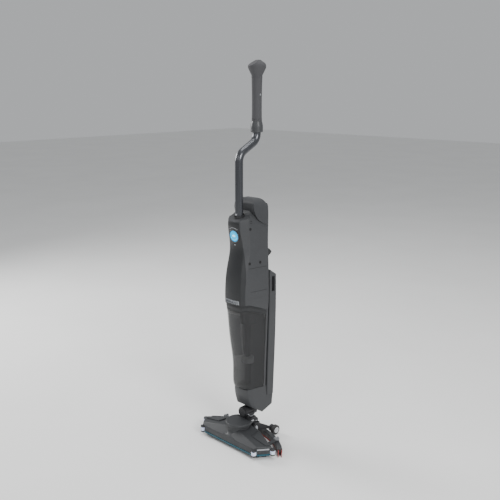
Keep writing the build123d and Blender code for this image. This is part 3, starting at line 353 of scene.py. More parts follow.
def lit_display(colours):
    """The lit round button: bright middle, softer towards the rim."""
    finish = Finish("lit_display", colours.display, 0.18)
    centre = finish.node("ShaderNodeVectorMath", operation="DISTANCE")
    centre.inputs[1].default_value = BUTTON_CENTRE
    finish.link(finish.coords.outputs["Object"], centre.inputs[0])
    rim = finish.spread(centre.outputs["Value"], 0.0, 0.65, 0.009, 0.0175)
    finish.tint(rim, (0.0, 0.27, 0.62))
    finish.shade(finish.noise(160.0, 2.0), 0.08)
    base = finish.shader.inputs["Base Color"].links[0].from_socket
    finish.link(base, finish.shader.inputs["Emission Color"])
    finish.shader.inputs["Emission Strength"].default_value = 0.7
    finish.shader.inputs["Specular IOR Level"].default_value = 0.1
    return finish


def lit_mark(colours):
    finish = Finish("lit_mark", (0.22, 0.68, 0.90), 0.3)
    finish.shade(finish.noise(300.0, 2.0), 0.05)
    finish.shader.inputs["Emission Color"].default_value = (0.7, 0.93, 1.0, 1)
    finish.shader.inputs["Emission Strength"].default_value = 1.4
    return finish


def pale_print(colours):
    finish = Finish("pale_print", (0.42, 0.43, 0.45), 0.5)
    finish.shade(finish.noise(700.0, 3.0), 0.15)
    return finish


# Pale plastic of the wing trim and arm caps, also the painted highlight on the neck's rims.
def pale_trim(colours):
    return moulded_plastic("pale_trim", (0.34, 0.35, 0.37), 0.36)


def baffle_clear(colours):
    """Pale sheet behind the recovery tank's front: a painted reflection that lightens the front."""
    finish = Finish("baffle_clear", (0.5, 0.51, 0.53), 0.3)
    finish.shade(finish.noise(40.0, 4.0, (1, 1, 0.2)), 0.12)
    return finish


def circuit_board(colours):
    finish = Finish("circuit_board", (0.012, 0.10, 0.05), 0.35)
    finish.shade(finish.noise(400.0, 2.0), 0.2)
    return finish


def filter_mesh(colours):
    """Fine woven mesh of the filter basket."""
    finish = Finish("filter_mesh", (0.05, 0.052, 0.055), 0.6)
    finish.shade(finish.noise(1600.0, 1.0), 0.5)
    finish.bump(finish.noise(1600.0, 1.0), 0.0003)
    return finish


SLOT_FINISHES = {
    "body_grey": body_plastic,
    "deck_grey": deck_plastic,
    "panel_dark": panel_plastic,
    "inner_black": inner_plastic,
    "strip_teal": strip_plastic,
    "roller_pale": roller_plastic,
    "hub_white": hub_plastic,
    "tyre_rubber": tyre_rubber,
    "blade_red": blade_rubber,
    "bristle_grey": bristle_nylon,
    "steel_pin": turned_steel,
    "tube_dark": coated_tube,
    "tank_smoke": smoke_clear,
    "motor_metal": plated_can,
    "knob_grey": knob_plastic,
    "latch_silver": latch_plastic,
    "bezel_dark": bezel_plastic,
    "display_blue": lit_display,
    "board_green": circuit_board,
    "grip_rubber": grip_rubber,
}
EXTRA_FINISHES = (lit_mark, pale_print, filter_mesh, black_steel, pale_trim, baffle_clear)


def material(name):
    return bpy.data.materials[name]


def finish_of(slot):
    """The material that a record slot takes."""
    return material(SLOT_FINISHES[slot].__name__)


# ---------------------------------------------------------------- mesh tools
def piece_from(bm, name, slot, body, finish=None, smooth=True):
    """Turn a bmesh into a finished piece that rides on a body."""
    bmesh.ops.remove_doubles(bm, verts=bm.verts, dist=1e-6)
    bmesh.ops.recalc_face_normals(bm, faces=bm.faces)
    mesh = bpy.data.meshes.new(name)
    bm.to_mesh(mesh)
    bm.free()
    return piece_of_mesh(mesh, name, slot, body, finish, smooth)


def piece_of_mesh(mesh, name, slot, body, finish=None, smooth=True):
    """Give a mesh its finish, taken from its slot unless one is given, and its body."""
    piece = bpy.data.objects.new(name, mesh)
    bpy.context.collection.objects.link(piece)
    mesh.materials.clear()
    mesh.materials.append(finish or finish_of(slot))
    for face in mesh.polygons:
        face.use_smooth = smooth
        face.material_index = 0
    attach(piece, body)
    return piece


def host_curves(name, rows):
    """Poly splines through rows of points, as the path that a node tree follows."""
    curve = bpy.data.curves.new(name, "CURVE")
    curve.dimensions = "3D"
    for row in rows:
        spline = curve.splines.new("POLY")
        spline.points.add(len(row) - 1)
        for target, point in zip(spline.points, row):
            target.co = (*point, 1)
    host = bpy.data.objects.new(name, curve)
    bpy.context.collection.objects.link(host)
    return host


def helper_object(bm, name):
    """A hidden source shape for instances."""
    mesh = bpy.data.meshes.new(name)
    bm.to_mesh(mesh)
    bm.free()
    return bpy.data.objects.new(name, mesh)


def row_tree(name, source, finish, spin=0.0, size_spread=0.0, follow=True, upright=False):
    """Node tree: copies of a shape along curves, a set distance apart.

    Copies turn with the path, or stand upright facing forwards, or spin at random about the vertical.
    """
    tree = bpy.data.node_groups.new(name, "GeometryNodeTree")
    tree.interface.new_socket("Path", in_out="INPUT", socket_type="NodeSocketGeometry")
    spacing = tree.interface.new_socket("Spacing", in_out="INPUT", socket_type="NodeSocketFloat")
    seed = tree.interface.new_socket("Seed", in_out="INPUT", socket_type="NodeSocketInt")
    tree.interface.new_socket("Copies", in_out="OUTPUT", socket_type="NodeSocketGeometry")
    spacing.default_value = 0.005
    seed.default_value = 7
    nodes = tree.nodes
    links = tree.links
    given = nodes.new("NodeGroupInput")
    result = nodes.new("NodeGroupOutput")
    points = nodes.new("GeometryNodeCurveToPoints")
    points.mode = "LENGTH"
    links.new(given.outputs["Path"], points.inputs["Curve"])
    links.new(given.outputs["Spacing"], points.inputs["Length"])
    shape = nodes.new("GeometryNodeObjectInfo")
    shape.inputs["Object"].default_value = source
    place = nodes.new("GeometryNodeInstanceOnPoints")
    links.new(points.outputs["Points"], place.inputs["Points"])
    links.new(shape.outputs["Geometry"], place.inputs["Instance"])
    if upright:
        place.inputs["Rotation"].default_value = (pi / 2, 0, 0)
    elif follow:
        links.new(points.outputs["Rotation"], place.inputs["Rotation"])
    else:
        turn = nodes.new("FunctionNodeRandomValue")
        turn.data_type = "FLOAT_VECTOR"
        turn.inputs["Min"].default_value = (0, 0, -spin)
        turn.inputs["Max"].default_value = (0, 0, spin)
        links.new(given.outputs["Seed"], turn.inputs["Seed"])
        links.new(turn.outputs["Value"], place.inputs["Rotation"])
    size = nodes.new("FunctionNodeRandomValue")
    size.data_type = "FLOAT_VECTOR"
    size.inputs["Min"].default_value = (1 - size_spread, 1 - size_spread, 1)
    size.inputs["Max"].default_value = (1 + size_spread, 1 + size_spread, 1)
    links.new(given.outputs["Seed"], size.inputs["Seed"])
    links.new(size.outputs["Value"], place.inputs["Scale"])
    real = nodes.new("GeometryNodeRealizeInstances")
    links.new(place.outputs["Instances"], real.inputs["Geometry"])
    paint = nodes.new("GeometryNodeSetMaterial")
    paint.inputs["Material"].default_value = finish
    links.new(real.outputs["Geometry"], paint.inputs["Geometry"])
    links.new(paint.outputs["Geometry"], result.inputs["Copies"])
    return tree


def grown(host, tree, name, slot, body, values, finish=None, smooth=True):
    """Run a node tree on a host object and keep the result as a plain mesh piece."""
    modifier = host.modifiers.new("grow", "NODES")
    modifier.node_group = tree
    for item in tree.interface.items_tree:
        if item.item_type == "SOCKET" and item.in_out == "INPUT" and item.name in values:
            modifier[item.identifier] = values[item.name]
    depsgraph = bpy.context.evaluated_depsgraph_get()
    depsgraph.update()
    mesh = bpy.data.meshes.new_from_object(host.evaluated_get(depsgraph))
    mesh.name = name
    host.modifiers.remove(modifier)
    bpy.data.objects.remove(host)
    return piece_of_mesh(mesh, name, slot, body, finish, smooth)


def prism(bm, outline, low, high, place=Matrix.Identity(4)):
    """Add a closed prism over a flat outline."""
    bottom = [bm.verts.new(place @ Vector((x, y, low))) for x, y in outline]
    top = [bm.verts.new(place @ Vector((x, y, high))) for x, y in outline]
    bm.faces.new(bottom[::-1])
    bm.faces.new(top)
    for i in range(len(outline)):
        j = (i + 1) % len(outline)
        bm.faces.new((bottom[i], bottom[j], top[j], top[i]))


def ring_outline(radius, count):
    """A flat circle as points."""
    return [(radius * cos(2 * pi * i / count), radius * sin(2 * pi * i / count)) for i in range(count)]


def lathe(bm, profile, place, steps=64):
    """Add a closed ring-shaped or solid turning: profile is (radius, height) pairs."""
    rings = []
    for radius, height in profile:
        if radius < 1e-7:
            rings.append([bm.verts.new(place @ Vector((0, 0, height)))])
            continue
        rings.append([bm.verts.new(place @ Vector((x, y, height))) for x, y in ring_outline(radius, steps)])
    pairs = list(zip(rings, rings[1:]))
    if len(rings[0]) > 1 and len(rings[-1]) > 1:
        pairs.append((rings[-1], rings[0]))
    for a, b in pairs:
        for i in range(steps):
            j = (i + 1) % steps
            if len(a) == 1:
                bm.faces.new((a[0], b[j], b[i]))
            elif len(b) == 1:
                bm.faces.new((a[i], a[j], b[0]))
            else:
                bm.faces.new((a[i], a[j], b[j], b[i]))


def looking_along(origin, direction):
    """A placement whose local Z runs along a direction."""
    turn = Vector(direction).normalized().to_track_quat("Z", "Y").to_matrix().to_4x4()
    return Matrix.Translation(origin) @ turn


def rounded(width, height, radius, centre=(0, 0), steps=4):
    """A flat rounded rectangle."""
    points = []
    for qx, qy, start in ((1, 1, 0), (-1, 1, 90), (-1, -1, 180), (1, -1, 270)):
        for k in range(steps + 1):
            angle = radians(start + 90 * k / steps)
            points.append((centre[0] + qx * (width / 2 - radius) + radius * cos(angle),
                           centre[1] + qy * (height / 2 - radius) + radius * sin(angle)))
    return points


def tube_along(path, radius, sides=8, bm=None):
    """A thin closed-ended tube that follows a row of points."""
    bm = bm or bmesh.new()
    rings = []
    for i, point in enumerate(path):
        forward = (path[min(i + 1, len(path) - 1)] - path[max(i - 1, 0)]).normalized()
        aside = forward.orthogonal() if i == 0 else aside - forward * aside.dot(forward)
        aside.normalize()
        other = forward.cross(aside)
        rings.append([bm.verts.new(point + (aside * x + other * y) * radius)
                      for x, y in ring_outline(1.0, sides)])
    for a, b in zip(rings, rings[1:]):
        for k in range(sides):
            m = (k + 1) % sides
            bm.faces.new((a[k], a[m], b[m], b[k]))
    bm.faces.new(rings[0][::-1])
    bm.faces.new(rings[-1])
    return bm


def plate(bm, grid, thickness, towards=BACKWARDS):
    """Add a thin closed plate over a grid of points."""
    front = [[bm.verts.new(p) for p in row] for row in grid]
    back = [[bm.verts.new(p + towards * thickness) for p in row] for row in grid]
    rows, columns = len(grid), len(grid[0])
    for layer, flip in ((front, False), (back, True)):
        for i in range(rows - 1):
            for k in range(columns - 1):
                quad = (layer[i][k], layer[i + 1][k], layer[i + 1][k + 1], layer[i][k + 1])
                bm.faces.new(quad[::-1] if flip else quad)
    rim = [(0, k) for k in range(columns)] + [(i, columns - 1) for i in range(1, rows)]
    rim += [(rows - 1, k) for k in range(columns - 2, -1, -1)] + [(i, 0) for i in range(rows - 2, 0, -1)]
    for (i, k), (m, n) in zip(rim, rim[1:] + rim[:1]):
        bm.faces.new((front[i][k], front[m][n], back[m][n], back[i][k]))


def skin_point(node, start, direction):
    """Where a ray first meets a CAD node."""
    hit, location, _, _ = frame["nodes"][node].ray_cast(start, direction)
    return location if hit else None


# ---------------------------------------------------------------- operators
class SCRUBBER_OT_finishes(bpy.types.Operator):
    """Make every finish and give it to the CAD nodes of its slot"""

    bl_idname = "scrubber.finishes"
    bl_label = "Finishes"

    def execute(self, context):
        colours = context.scene.scrubber_colours
        for maker in (*SLOT_FINISHES.values(), *EXTRA_FINISHES):
            made = maker(colours)
            made.material.name = maker.__name__
        for part in frame["record"]["subparts"]:
            node = frame["nodes"][part["node"]]
            for holder in node.material_slots:
                holder.material = finish_of(part["material_slot"])
        return {"FINISHED"}


BAND_HIP = Vector((0.090, -0.018))
BAND_WAIST = Vector((0.060, -0.008))
BAND_GAP = (-0.0665, -0.0565)
BAND_INSETS = (0.0135, 0.0172, 0.0209, 0.0246)
TUFT_BRISTLES = 8
TUFT_RADIUS = 0.00105
BRISTLE_RADIUS = 0.00042


class SCRUBBER_OT_bristles(bpy.types.Operator):
    """Grow the two bands of nylon tufts under the deck"""

    bl_idname = "scrubber.bristles"
    bl_label = "Bristles"

    def execute(self, context):
        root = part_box("brush_bristles")[1][2]
        corners = [DECK_CORNERS[1].xy, DECK_CORNERS[2].xy, BAND_HIP, BAND_WAIST]
        outline = corners + [Vector((-p.x, p.y)) for p in reversed(corners)]
        rows = []
        for inset in BAND_INSETS:
            for part in split_by_gap(inset_outline(outline, inset), *BAND_GAP):
                rows.append([(p.x, p.y, root - 0.0002) for p in part])
        tuft = bmesh.new()
        for x, y in (*ring_outline(TUFT_RADIUS, TUFT_BRISTLES), (0, 0)):
            foot = Vector((x * 0.8, y * 0.8, 0))
            tip = Vector((x * 1.45, y * 1.45, 0.0003 - root))
            bristle(tuft, foot, tip, BRISTLE_RADIUS)
        source = helper_object(tuft, "tuft")
        host = host_curves("bristle_rows", rows)
        tree = row_tree("tuft_rows", source, material("bristle_nylon"), spin=pi, size_spread=0.12,
                        follow=False)
        tufts = grown(host, tree, "bristle_tufts", "bristle_grey", "brush",
                      {"Spacing": context.scene.scrubber_sizes.tuft_spacing, "Seed": 5})
        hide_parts("brush_bristles")
        return {"FINISHED"}


def inset_outline(points, distance):
    """A convex-cornered outline moved inwards by a distance."""
    moved = []
    count = len(points)
    for i in range(count):
        before, here, after = points[i - 1], points[i], points[(i + 1) % count]
        first = (here - before).normalized()
        second = (after - here).normalized()
        normal_a = Vector((-first.y, first.x))
        normal_b = Vector((-second.y, second.x))
        middle = (normal_a + normal_b).normalized()
        moved.append(here + middle * distance / middle.dot(normal_a))
    return moved


def split_by_gap(ring, gap_low, gap_high, step=0.0015):
    """Walk a closed outline in small steps and drop what falls in a band of Y."""
    walked = []
    for i, start in enumerate(ring):
        end = ring[(i + 1) % len(ring)]
        pieces = max(2, int((end - start).length / step))
        walked += [start.lerp(end, k / pieces) for k in range(pieces)]
    parts = [[]]
    for point in walked + walked[:1]:
        if gap_low < point.y < gap_high:
            if parts[-1]:
                parts.append([])
        else:
            parts[-1].append(point)
    return [part for part in parts if len(part) > 2]


def bristle(bm, foot, tip, radius, sides=4):
    """One tapering bristle, closed at both ends."""
    rings = []
    for centre, size in ((foot, radius), (tip, radius * 0.6)):
        rings.append([bm.verts.new(centre + Vector((x, y, 0))) for x, y in ring_outline(size, sides)])
    for k in range(sides):
        m = (k + 1) % sides
        bm.faces.new((rings[0][m], rings[0][k], rings[1][k], rings[1][m]))
    bm.faces.new(rings[0])
    bm.faces.new(rings[1][::-1])


# The housing's lower lip as (Y, Z) points, from the front to the back.
LIP = [(-0.100, 0.472), (-0.036, 0.472), (0.010, 0.455), (0.062, 0.431)]


def lip_height(y):
    """Height of the housing's lower lip, which falls towards the back."""
    for (y0, z0), (y1, z1) in zip(LIP, LIP[1:]):
        if y <= y1:
            return z0 + (z1 - z0) * (y - y0) / (y1 - y0)
    return LIP[-1][1]


def band_round(node, offset, start=-225, end=45, count=180):
    """Points round the front and sides of a node, a fixed distance from the lip."""
    points = []
    middle = Vector((0, -0.005, 0))
    for k in range(count + 1):
        angle = radians(start + (end - start) * k / count)
        outward = Vector((cos(angle), sin(angle), 0))
        level = lip_height(0) + offset
        for _ in range(4):
            hit = skin_point(node, middle + outward * 0.2 + Vector((0, 0, level)), -outward)
            if hit is None:
                break
            level = lip_height(hit.y) + offset
        if hit is not None:
            points.append(hit)
    return points


UPPER_RIBS, LOWER_RIBS, SEAL_LEVEL = -0.0026, -0.0172, -0.0206


class SCRUBBER_OT_collar(bpy.types.Operator):
    """Rib the recovery tank's collar and lay the seal under it"""

    bl_idname = "scrubber.collar"
    bl_label = "Tank collar"

    def execute(self, context):
        rib = bmesh.new()
        section = [(-0.0006, -0.0008), (0.0006, -0.0008), (0.0003, 0.0006), (-0.0003, 0.0006)]
        prism(rib, section, -0.0014, 0.0014)
        source = helper_object(rib, "collar_rib")
        tree = row_tree("collar_ribs", source, material("panel_plastic"))
        bands = [band_round("tank_lid", offset) for offset in (UPPER_RIBS, LOWER_RIBS)]
        host = host_curves("collar_path", bands)
        grown(host, tree, "collar_ribs", "panel_dark", "dirty_tank",
              {"Spacing": context.scene.scrubber_sizes.rib_spacing}, smooth=False)
        seal = tube_along(band_round("recovery_tank", SEAL_LEVEL), 0.0008)
        piece_from(seal, "tank_seal", "tyre_rubber", "dirty_tank")
        return {"FINISHED"}


GAUGE_RADIUS = 0.0122
DOT_RADIUS = 0.00085
INDICATOR_RADIUS = 0.0262
LOW_MARK_Y = -0.0275


class SCRUBBER_OT_display(bpy.types.Operator):
    """Put the charge gauge and bars on the round button and the marks on the panel"""

    bl_idname = "scrubber.display"
    bl_label = "Display"

    def execute(self, context):
        face = button_face()
        bm = bmesh.new()
        for x, height in ((-0.0044, 0.0052), (0.0, 0.0078), (0.0044, 0.0052)):
            prism(bm, rounded(0.0024, height, 0.0009, (x, 0.0010)), -0.0001, 0.00025, face)
        for k in range(7):
            angle = radians(205 + 130 * k / 6)
            middle = Vector((GAUGE_RADIUS * cos(angle), GAUGE_RADIUS * sin(angle)))
            dot = [middle + Vector(point) for point in ring_outline(DOT_RADIUS, 10)]
            prism(bm, dot, -0.0001, 0.00025, face)
        piece_from(bm, "display_marks", "display_blue", "display_button", material("lit_mark"),
                   smooth=False)
        panel = bmesh.new()
        for k in range(7):
            angle = radians(57 + 11 * k)
            x, y = INDICATOR_RADIUS * cos(angle), INDICATOR_RADIUS * sin(angle)
            prism(panel, rounded(0.0026, 0.0018, 0.0007, (x, y)), -0.0002, 0.0009, panel_place(y, x))
        low_mark = rounded(0.0056, 0.0022, 0.0009, (0, LOW_MARK_Y))
        prism(panel, low_mark, -0.0002, 0.0009, panel_place(LOW_MARK_Y, 0.0))
        piece_from(panel, "panel_marks", "panel_dark", "upright", material("pale_print"), smooth=False)
        return {"FINISHED"}


def button_face():
    """The outer face of the round button: local X across, local Y up the panel, local Z outwards."""
    outward = Vector((0, -cos(PANEL_LEAN), -sin(PANEL_LEAN)))
    across = Vector((1, 0, 0))
    up = outward.cross(across)
    turn = Matrix((across, up, outward)).transposed().to_4x4()
    return Matrix.Translation(BUTTON_CENTRE + outward * 0.0015) @ turn


def panel_place(up, across):
    """The panel's skin near the button: cast onto the CAD panel along Y."""
    face = button_face()
    probe = face @ Vector((across, up, 0.03))
    skin = skin_point("front_panel", probe, BACKWARDS)
    shift = 0.0 if skin is None else (face.inverted() @ skin).z
    return face @ Matrix.Translation((0, 0, shift))


# Where each housing screw's head sits, as (X, Y, Z).
SCREW_PLACES = [(0.0405, -0.029, 0.708), (0.0405, -0.032, 0.602), (0.0475, 0.008, 0.601),
                (0.047, -0.010, 0.508)]
# Places of the painted shade wells as (Y, Z), on both sides.
WELL_PLACES = [(-0.029, 0.708), (-0.032, 0.602), (0.008, 0.601), (-0.0264, 0.7292)]
BLANK_PLACES = [(-0.010, 0.508)]
WELL_PROFILE = [(0.0, 0.0001), (0.0030, 0.0001), (0.0034, 0.0006), (0.0042, 0.0006), (0.0046, 0.0001),
                (0.0046, -0.0022), (0.0, -0.0022)]
BLANK_PROFILE = [(0.0, 0.0003), (0.0038, 0.0003), (0.0044, 0.00005), (0.0044, -0.0022), (0.0, -0.0022)]
HEAD_PROFILE = [(0.0, 0.0010), (0.0014, 0.00095), (0.0027, 0.0006), (0.0034, 0.00005), (0.0034, 0.0),
                (0.0, 0.0)]
CROSS_TURN = 0.4


class SCRUBBER_OT_screws(bpy.types.Operator):
    """Cross-slot heads on the housing screws, with wells of painted shade and plain blanks over them"""

    bl_idname = "scrubber.screws"
    bl_label = "Housing screws"

    def execute(self, context):
        black = material("black_steel")
        head = bmesh.new()
        lathe(head, HEAD_PROFILE, Matrix.Identity(4), steps=24)
        for turn in (0, pi / 2):
            slot = [(-0.0016, -0.0003), (0.0016, -0.0003), (0.0016, 0.0003), (-0.0016, 0.0003)]
            prism(head, slot, 0.0008, 0.00125, Matrix.Rotation(turn + CROSS_TURN, 4, "Z"))
        source = helper_object(head, "screw_head")
        rows = [[(x, y, z), (x + 0.001, y, z)] for x, y, z in SCREW_PLACES]
        tree = row_tree("screw_rows", source, black)
        host = host_curves("screw_places", rows)
        grown(host, tree, "screw_heads", "steel_pin", "upright", {"Spacing": 0.0011}, black, smooth=False)
        # The wells are painted shade: black cups where the screw holes fall.
        wells = turned_on_sides(WELL_PLACES, WELL_PROFILE)
        piece_from(wells, "screw_wells", "inner_black", "upright", black)
        blanks = turned_on_sides(BLANK_PLACES, BLANK_PROFILE)
        piece_from(blanks, "screw_blanks", "body_grey", "upright")
        return {"FINISHED"}


def turned_on_sides(places, profile):
    """The same turning at (Y, Z) places on both of the housing's sides."""
    bm = bmesh.new()
    for side in (1, -1):
        for y, z in places:
            lathe(bm, profile, facing_skin(side, y, z), steps=32)
    return bm


def housing_of(side):
    return "upper_housing_left" if side > 0 else "upper_housing_right"


def side_skin(side, y, z, node):
    return skin_point(node, Vector((side * 0.2, y, z)), Vector((-side, 0, 0)))


def facing_skin(side, y, z):
    """A placement on the housing's skin, facing outwards, from three points round the place."""
    node = housing_of(side)
    a, b, c = (side_skin(side, y + dy, z + dz, node)
               for dy, dz in ((0.0055, 0), (-0.0028, 0.0048), (-0.0028, -0.0048)))
    normal = (b - a).cross(c - a).normalized()
    return looking_along((a + b + c) / 3, normal if normal.x * side > 0 else -normal)


# Level grooves on the sides, drawn as lines of painted shade: height, front end and rear end.
GROOVES = [(0.512, -0.030, 0.034), (0.586, -0.036, 0.034)]
GROOVE_STEPS = 24


class SCRUBBER_OT_grooves(bpy.types.Operator):
    """Fine dark lines of painted shade along the housing's sides, where the grooves run"""

    bl_idname = "scrubber.grooves"
    bl_label = "Side grooves"

    def execute(self, context):
        lines = bmesh.new()
        for side in (1, -1):
            for z, front, rear in GROOVES:
                ends = [front + (rear - front) * k / GROOVE_STEPS for k in range(GROOVE_STEPS + 1)]
                hits = [side_skin(side, y, z, housing_of(side)) for y in ends]
                tube_along([hit for hit in hits if hit is not None and abs(hit.x) > 0.03], 0.00045,
                           sides=6, bm=lines)
        piece_from(lines, "side_grooves", "inner_black", "upright", material("black_steel"))
        return {"FINISHED"}


OUTLET_LOW, OUTLET_HIGH = 0.660, 0.696


class SCRUBBER_OT_vents(bpy.types.Operator):
    """Dark slats at the back of the housing: painted shade standing for the air outlet's slots"""

    bl_idname = "scrubber.vents"
    bl_label = "Air outlet"

    def execute(self, context):
        slat = bmesh.new()
        prism(slat, rounded(0.044, 0.0022, 0.0008), -0.0006, 0.0012, Matrix.Rotation(-pi / 2, 4, "X"))
        source = helper_object(slat, "vent_slat")
        ends = [skin_point("upper_housing_left", Vector((0.02, 0.2, z)), FRONTWARDS)
                for z in (OUTLET_LOW, OUTLET_HIGH)]
        rows = [[(0, end.y, end.z) for end in ends]]
        tree = row_tree("vent_rows", source, material("inner_plastic"), follow=False)
        host = host_curves("vent_path", rows)
        count = context.scene.scrubber_sizes.vent_count
        # The dark slats are painted shade standing for the outlet's slots.
        grown(host, tree, "vent_slats", "inner_black", "upright",
              {"Spacing": (OUTLET_HIGH - OUTLET_LOW) / (count - 1)}, smooth=False)
        return {"FINISHED"}


class SCRUBBER_OT_grip(bpy.types.Operator):
    """Fine rings moulded into the soft grip"""

    bl_idname = "scrubber.grip"
    bl_label = "Grip rings"

    def execute(self, context):
        low, high = (Vector(corner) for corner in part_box("grip_sleeve"))
        bm = bmesh.new()
        place = Matrix.Translation((0, GRIP_AXIS_Y, 0))
        for z in (low.z + 0.004, low.z + 0.0075, high.z - 0.006):
            inner, outer = sleeve_radius(z) - 0.0004, sleeve_radius(z) + 0.0005
            ring = [(inner, z - 0.0009), (outer, z - 0.0005), (outer, z + 0.0005), (inner, z + 0.0009)]
            lathe(bm, ring, place)
        piece_from(bm, "grip_rings", "grip_rubber", "handle")
        return {"FINISHED"}


def sleeve_radius(z):
    """The grip sleeve's radius at a height."""
    return GRIP_AXIS_Y - skin_point("grip_sleeve", Vector((0, GRIP_AXIS_Y - 0.1, z)), BACKWARDS).y


BASKET_RADIUS = 0.0250
# Extent of the painted reflection sheet behind the tank's front wall.
REFLECTION_LEFT, REFLECTION_RIGHT, REFLECTION_TOP = -0.0255, 0.0200, 0.432
REFLECTION_FOOT_LEFT, REFLECTION_FOOT_RIGHT = 0.286, 0.304
REFLECTION_COLUMNS, REFLECTION_ROWS = 12, 16


class SCRUBBER_OT_tank_insides(bpy.types.Operator):
    """The mesh filter basket inside the recovery tank, and a pale sheet behind its front as painted
    reflection
    """

    bl_idname = "scrubber.tank_insides"
    bl_label = "Tank insides"

    def execute(self, context):
        pipe = centre_of("standpipe")
        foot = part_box("standpipe")[1][2] - 0.001
        top = lip_height(pipe.y) - 0.0045
        place = Matrix.Translation((0, pipe.y, 0))
        basket = bmesh.new()
        lathe(basket, [(BASKET_RADIUS - 0.0015, top), (BASKET_RADIUS - 0.0015, foot + 0.0016),
                       (0.012, foot + 0.0016), (0.012, foot), (BASKET_RADIUS, foot), (BASKET_RADIUS, top)],
              place, steps=48)
        piece_from(basket, "filter_basket", "inner_black", "dirty_tank", material("filter_mesh"))
        # A pale sheet just behind the front wall: painted reflection that lightens the tank's front.
        reflection_sheet = bmesh.new()
        grid = []
        for i in range(REFLECTION_COLUMNS + 1):
            share = i / REFLECTION_COLUMNS
            across = REFLECTION_LEFT + (REFLECTION_RIGHT - REFLECTION_LEFT) * share
            low = REFLECTION_FOOT_LEFT + (REFLECTION_FOOT_RIGHT - REFLECTION_FOOT_LEFT) * share
            grid.append([wall_inside(across, low + (REFLECTION_TOP - low) * k / REFLECTION_ROWS)
                         for k in range(REFLECTION_ROWS + 1)])
        plate(reflection_sheet, grid, 0.0014)
        piece_from(reflection_sheet, "tank_baffle", "inner_black", "dirty_tank", material("baffle_clear"))
        return {"FINISHED"}


def wall_inside(across, level):
    """A point just behind the recovery tank's front wall."""
    return skin_point("recovery_tank", Vector((across, -0.2, level)), BACKWARDS) + BACKWARDS * 0.0042


class SCRUBBER_OT_wing_trim(bpy.types.Operator):
    """A pale band along each end of the deck's wings"""

    bl_idname = "scrubber.wing_trim"
    bl_label = "Wing trim"

    def execute(self, context):
        ends = bmesh.new()
        for side in (1, -1):
            front = Vector((side * DECK_CORNERS[1].x, DECK_CORNERS[1].y))
            rear = Vector((side * DECK_CORNERS[2].x, DECK_CORNERS[2].y))
            along = (rear - front).normalized()
            outward = Vector((along.y, -along.x)) * side
            a, b = front + along * 0.0105, rear - along * 0.0105
            outline = [a - outward * 0.001, b - outward * 0.001, b + outward * 0.0009, a + outward * 0.0009]
            prism(ends, outline, 0.0305, 0.0345)
        piece_from(ends, "wing_trim", "knob_grey", "base", material("pale_trim"), smooth=False)
        return {"FINISHED"}


# Outline of the neck's cheeks as (Y, Z) points, front top to rear top round the lower edge.
CHEEK_OUTLINE = [(-0.0140, 0.0935), (-0.008, 0.087), (-0.001, 0.0815), (0.006, 0.0808), (0.013, 0.0825),
                 (0.019, 0.087), (0.0193, 0.0935)]
CHEEK_INNER, CHEEK_OUTER = 0.0166, 0.0186


class SCRUBBER_OT_neck_cheeks(bpy.types.Operator):
    """A dark cheek on each side of the neck with a pale rim round its lower edge, a painted highlight on
    its chamfer
    """

    bl_idname = "scrubber.neck_cheeks"
    bl_label = "Neck cheeks"

    def execute(self, context):
        cheeks = bmesh.new()
        rim_highlights = bmesh.new()
        on_its_side = Matrix(((0, 0, 1, 0), (1, 0, 0, 0), (0, 1, 0, 0), (0, 0, 0, 1)))
        for side in (1, -1):
            low, high = sorted((side * CHEEK_INNER, side * CHEEK_OUTER))
            prism(cheeks, CHEEK_OUTLINE, low, high, on_its_side)
            # The pale rim is a painted highlight along the cheek's chamfered lower edge.
            tube_along([Vector((side * 0.0188, y, z)) for y, z in CHEEK_OUTLINE], 0.0008, bm=rim_highlights)
        piece_from(cheeks, "neck_cheeks", "inner_black", "neck", smooth=False)
        piece_from(rim_highlights, "neck_rims", "steel_pin", "neck", material("pale_trim"))
        return {"FINISHED"}


CAP_PROFILE = [(0.0, 0.0035), (0.003, 0.0031), (0.0046, 0.0016), (0.005, 0.0), (0.0, 0.0)]


class SCRUBBER_OT_arm_caps(bpy.types.Operator):
    """A pale oval cap on each rear arm"""

    bl_idname = "scrubber.arm_caps"
    bl_label = "Arm caps"

    def execute(self, context):
        caps = bmesh.new()
        oval = Matrix.Diagonal((1.0, 1.5, 1.0, 1.0))
        for side in (1, -1):
            place = looking_along((side * 0.0402, 0.004, 0.0475), (side, 0, 0.35))
            lathe(caps, CAP_PROFILE, place @ oval, steps=24)
        piece_from(caps, "arm_caps", "knob_grey", "base", material("pale_trim"))
        return {"FINISHED"}


LATCH_RIB_REACH = 0.0255
LATCH_PATH_STEPS = 40


class SCRUBBER_OT_latch_ribs(bpy.types.Operator):
    """Upright ribs along the face of the tank latch"""

    bl_idname = "scrubber.latch_ribs"
    bl_label = "Latch ribs"

    def execute(self, context):
        rib = bmesh.new()
        prism(rib, rounded(0.0011, 0.0085, 0.0005), -0.0006, 0.0009)
        source = helper_object(rib, "latch_rib")
        level = centre_of("tank_latch").z - 0.0008
        path = []
        for k in range(LATCH_PATH_STEPS + 1):
            x = LATCH_RIB_REACH * (2 * k / LATCH_PATH_STEPS - 1)
            path.append(skin_point("tank_latch", Vector((x, -0.2, level)), BACKWARDS))
        tree = row_tree("latch_ribs", source, material("latch_plastic"), upright=True)
        host = host_curves("latch_path", [path])
        grown(host, tree, "latch_ribs", "latch_silver", "tank_button",
              {"Spacing": context.scene.scrubber_sizes.latch_spacing}, smooth=False)
        return {"FINISHED"}


# Name, place, target, size in metres and power in watts.
LIGHTS = [
    ("key_light", (2.6, -0.7, 1.9), (0, 0, 0.6), 1.3, 66),
    ("front_light", (0.4, -3.0, 2.2), (0, 0, 0.5), 1.8, 18),
    ("edge_light", (-2.4, -0.4, 1.5), (0, 0, 0.6), 1.2, 52),
    ("top_light", (0, 0.4, 3.4), (0, 0, 0.4), 2.4, 62),
]
FLOOR_HALF = 12


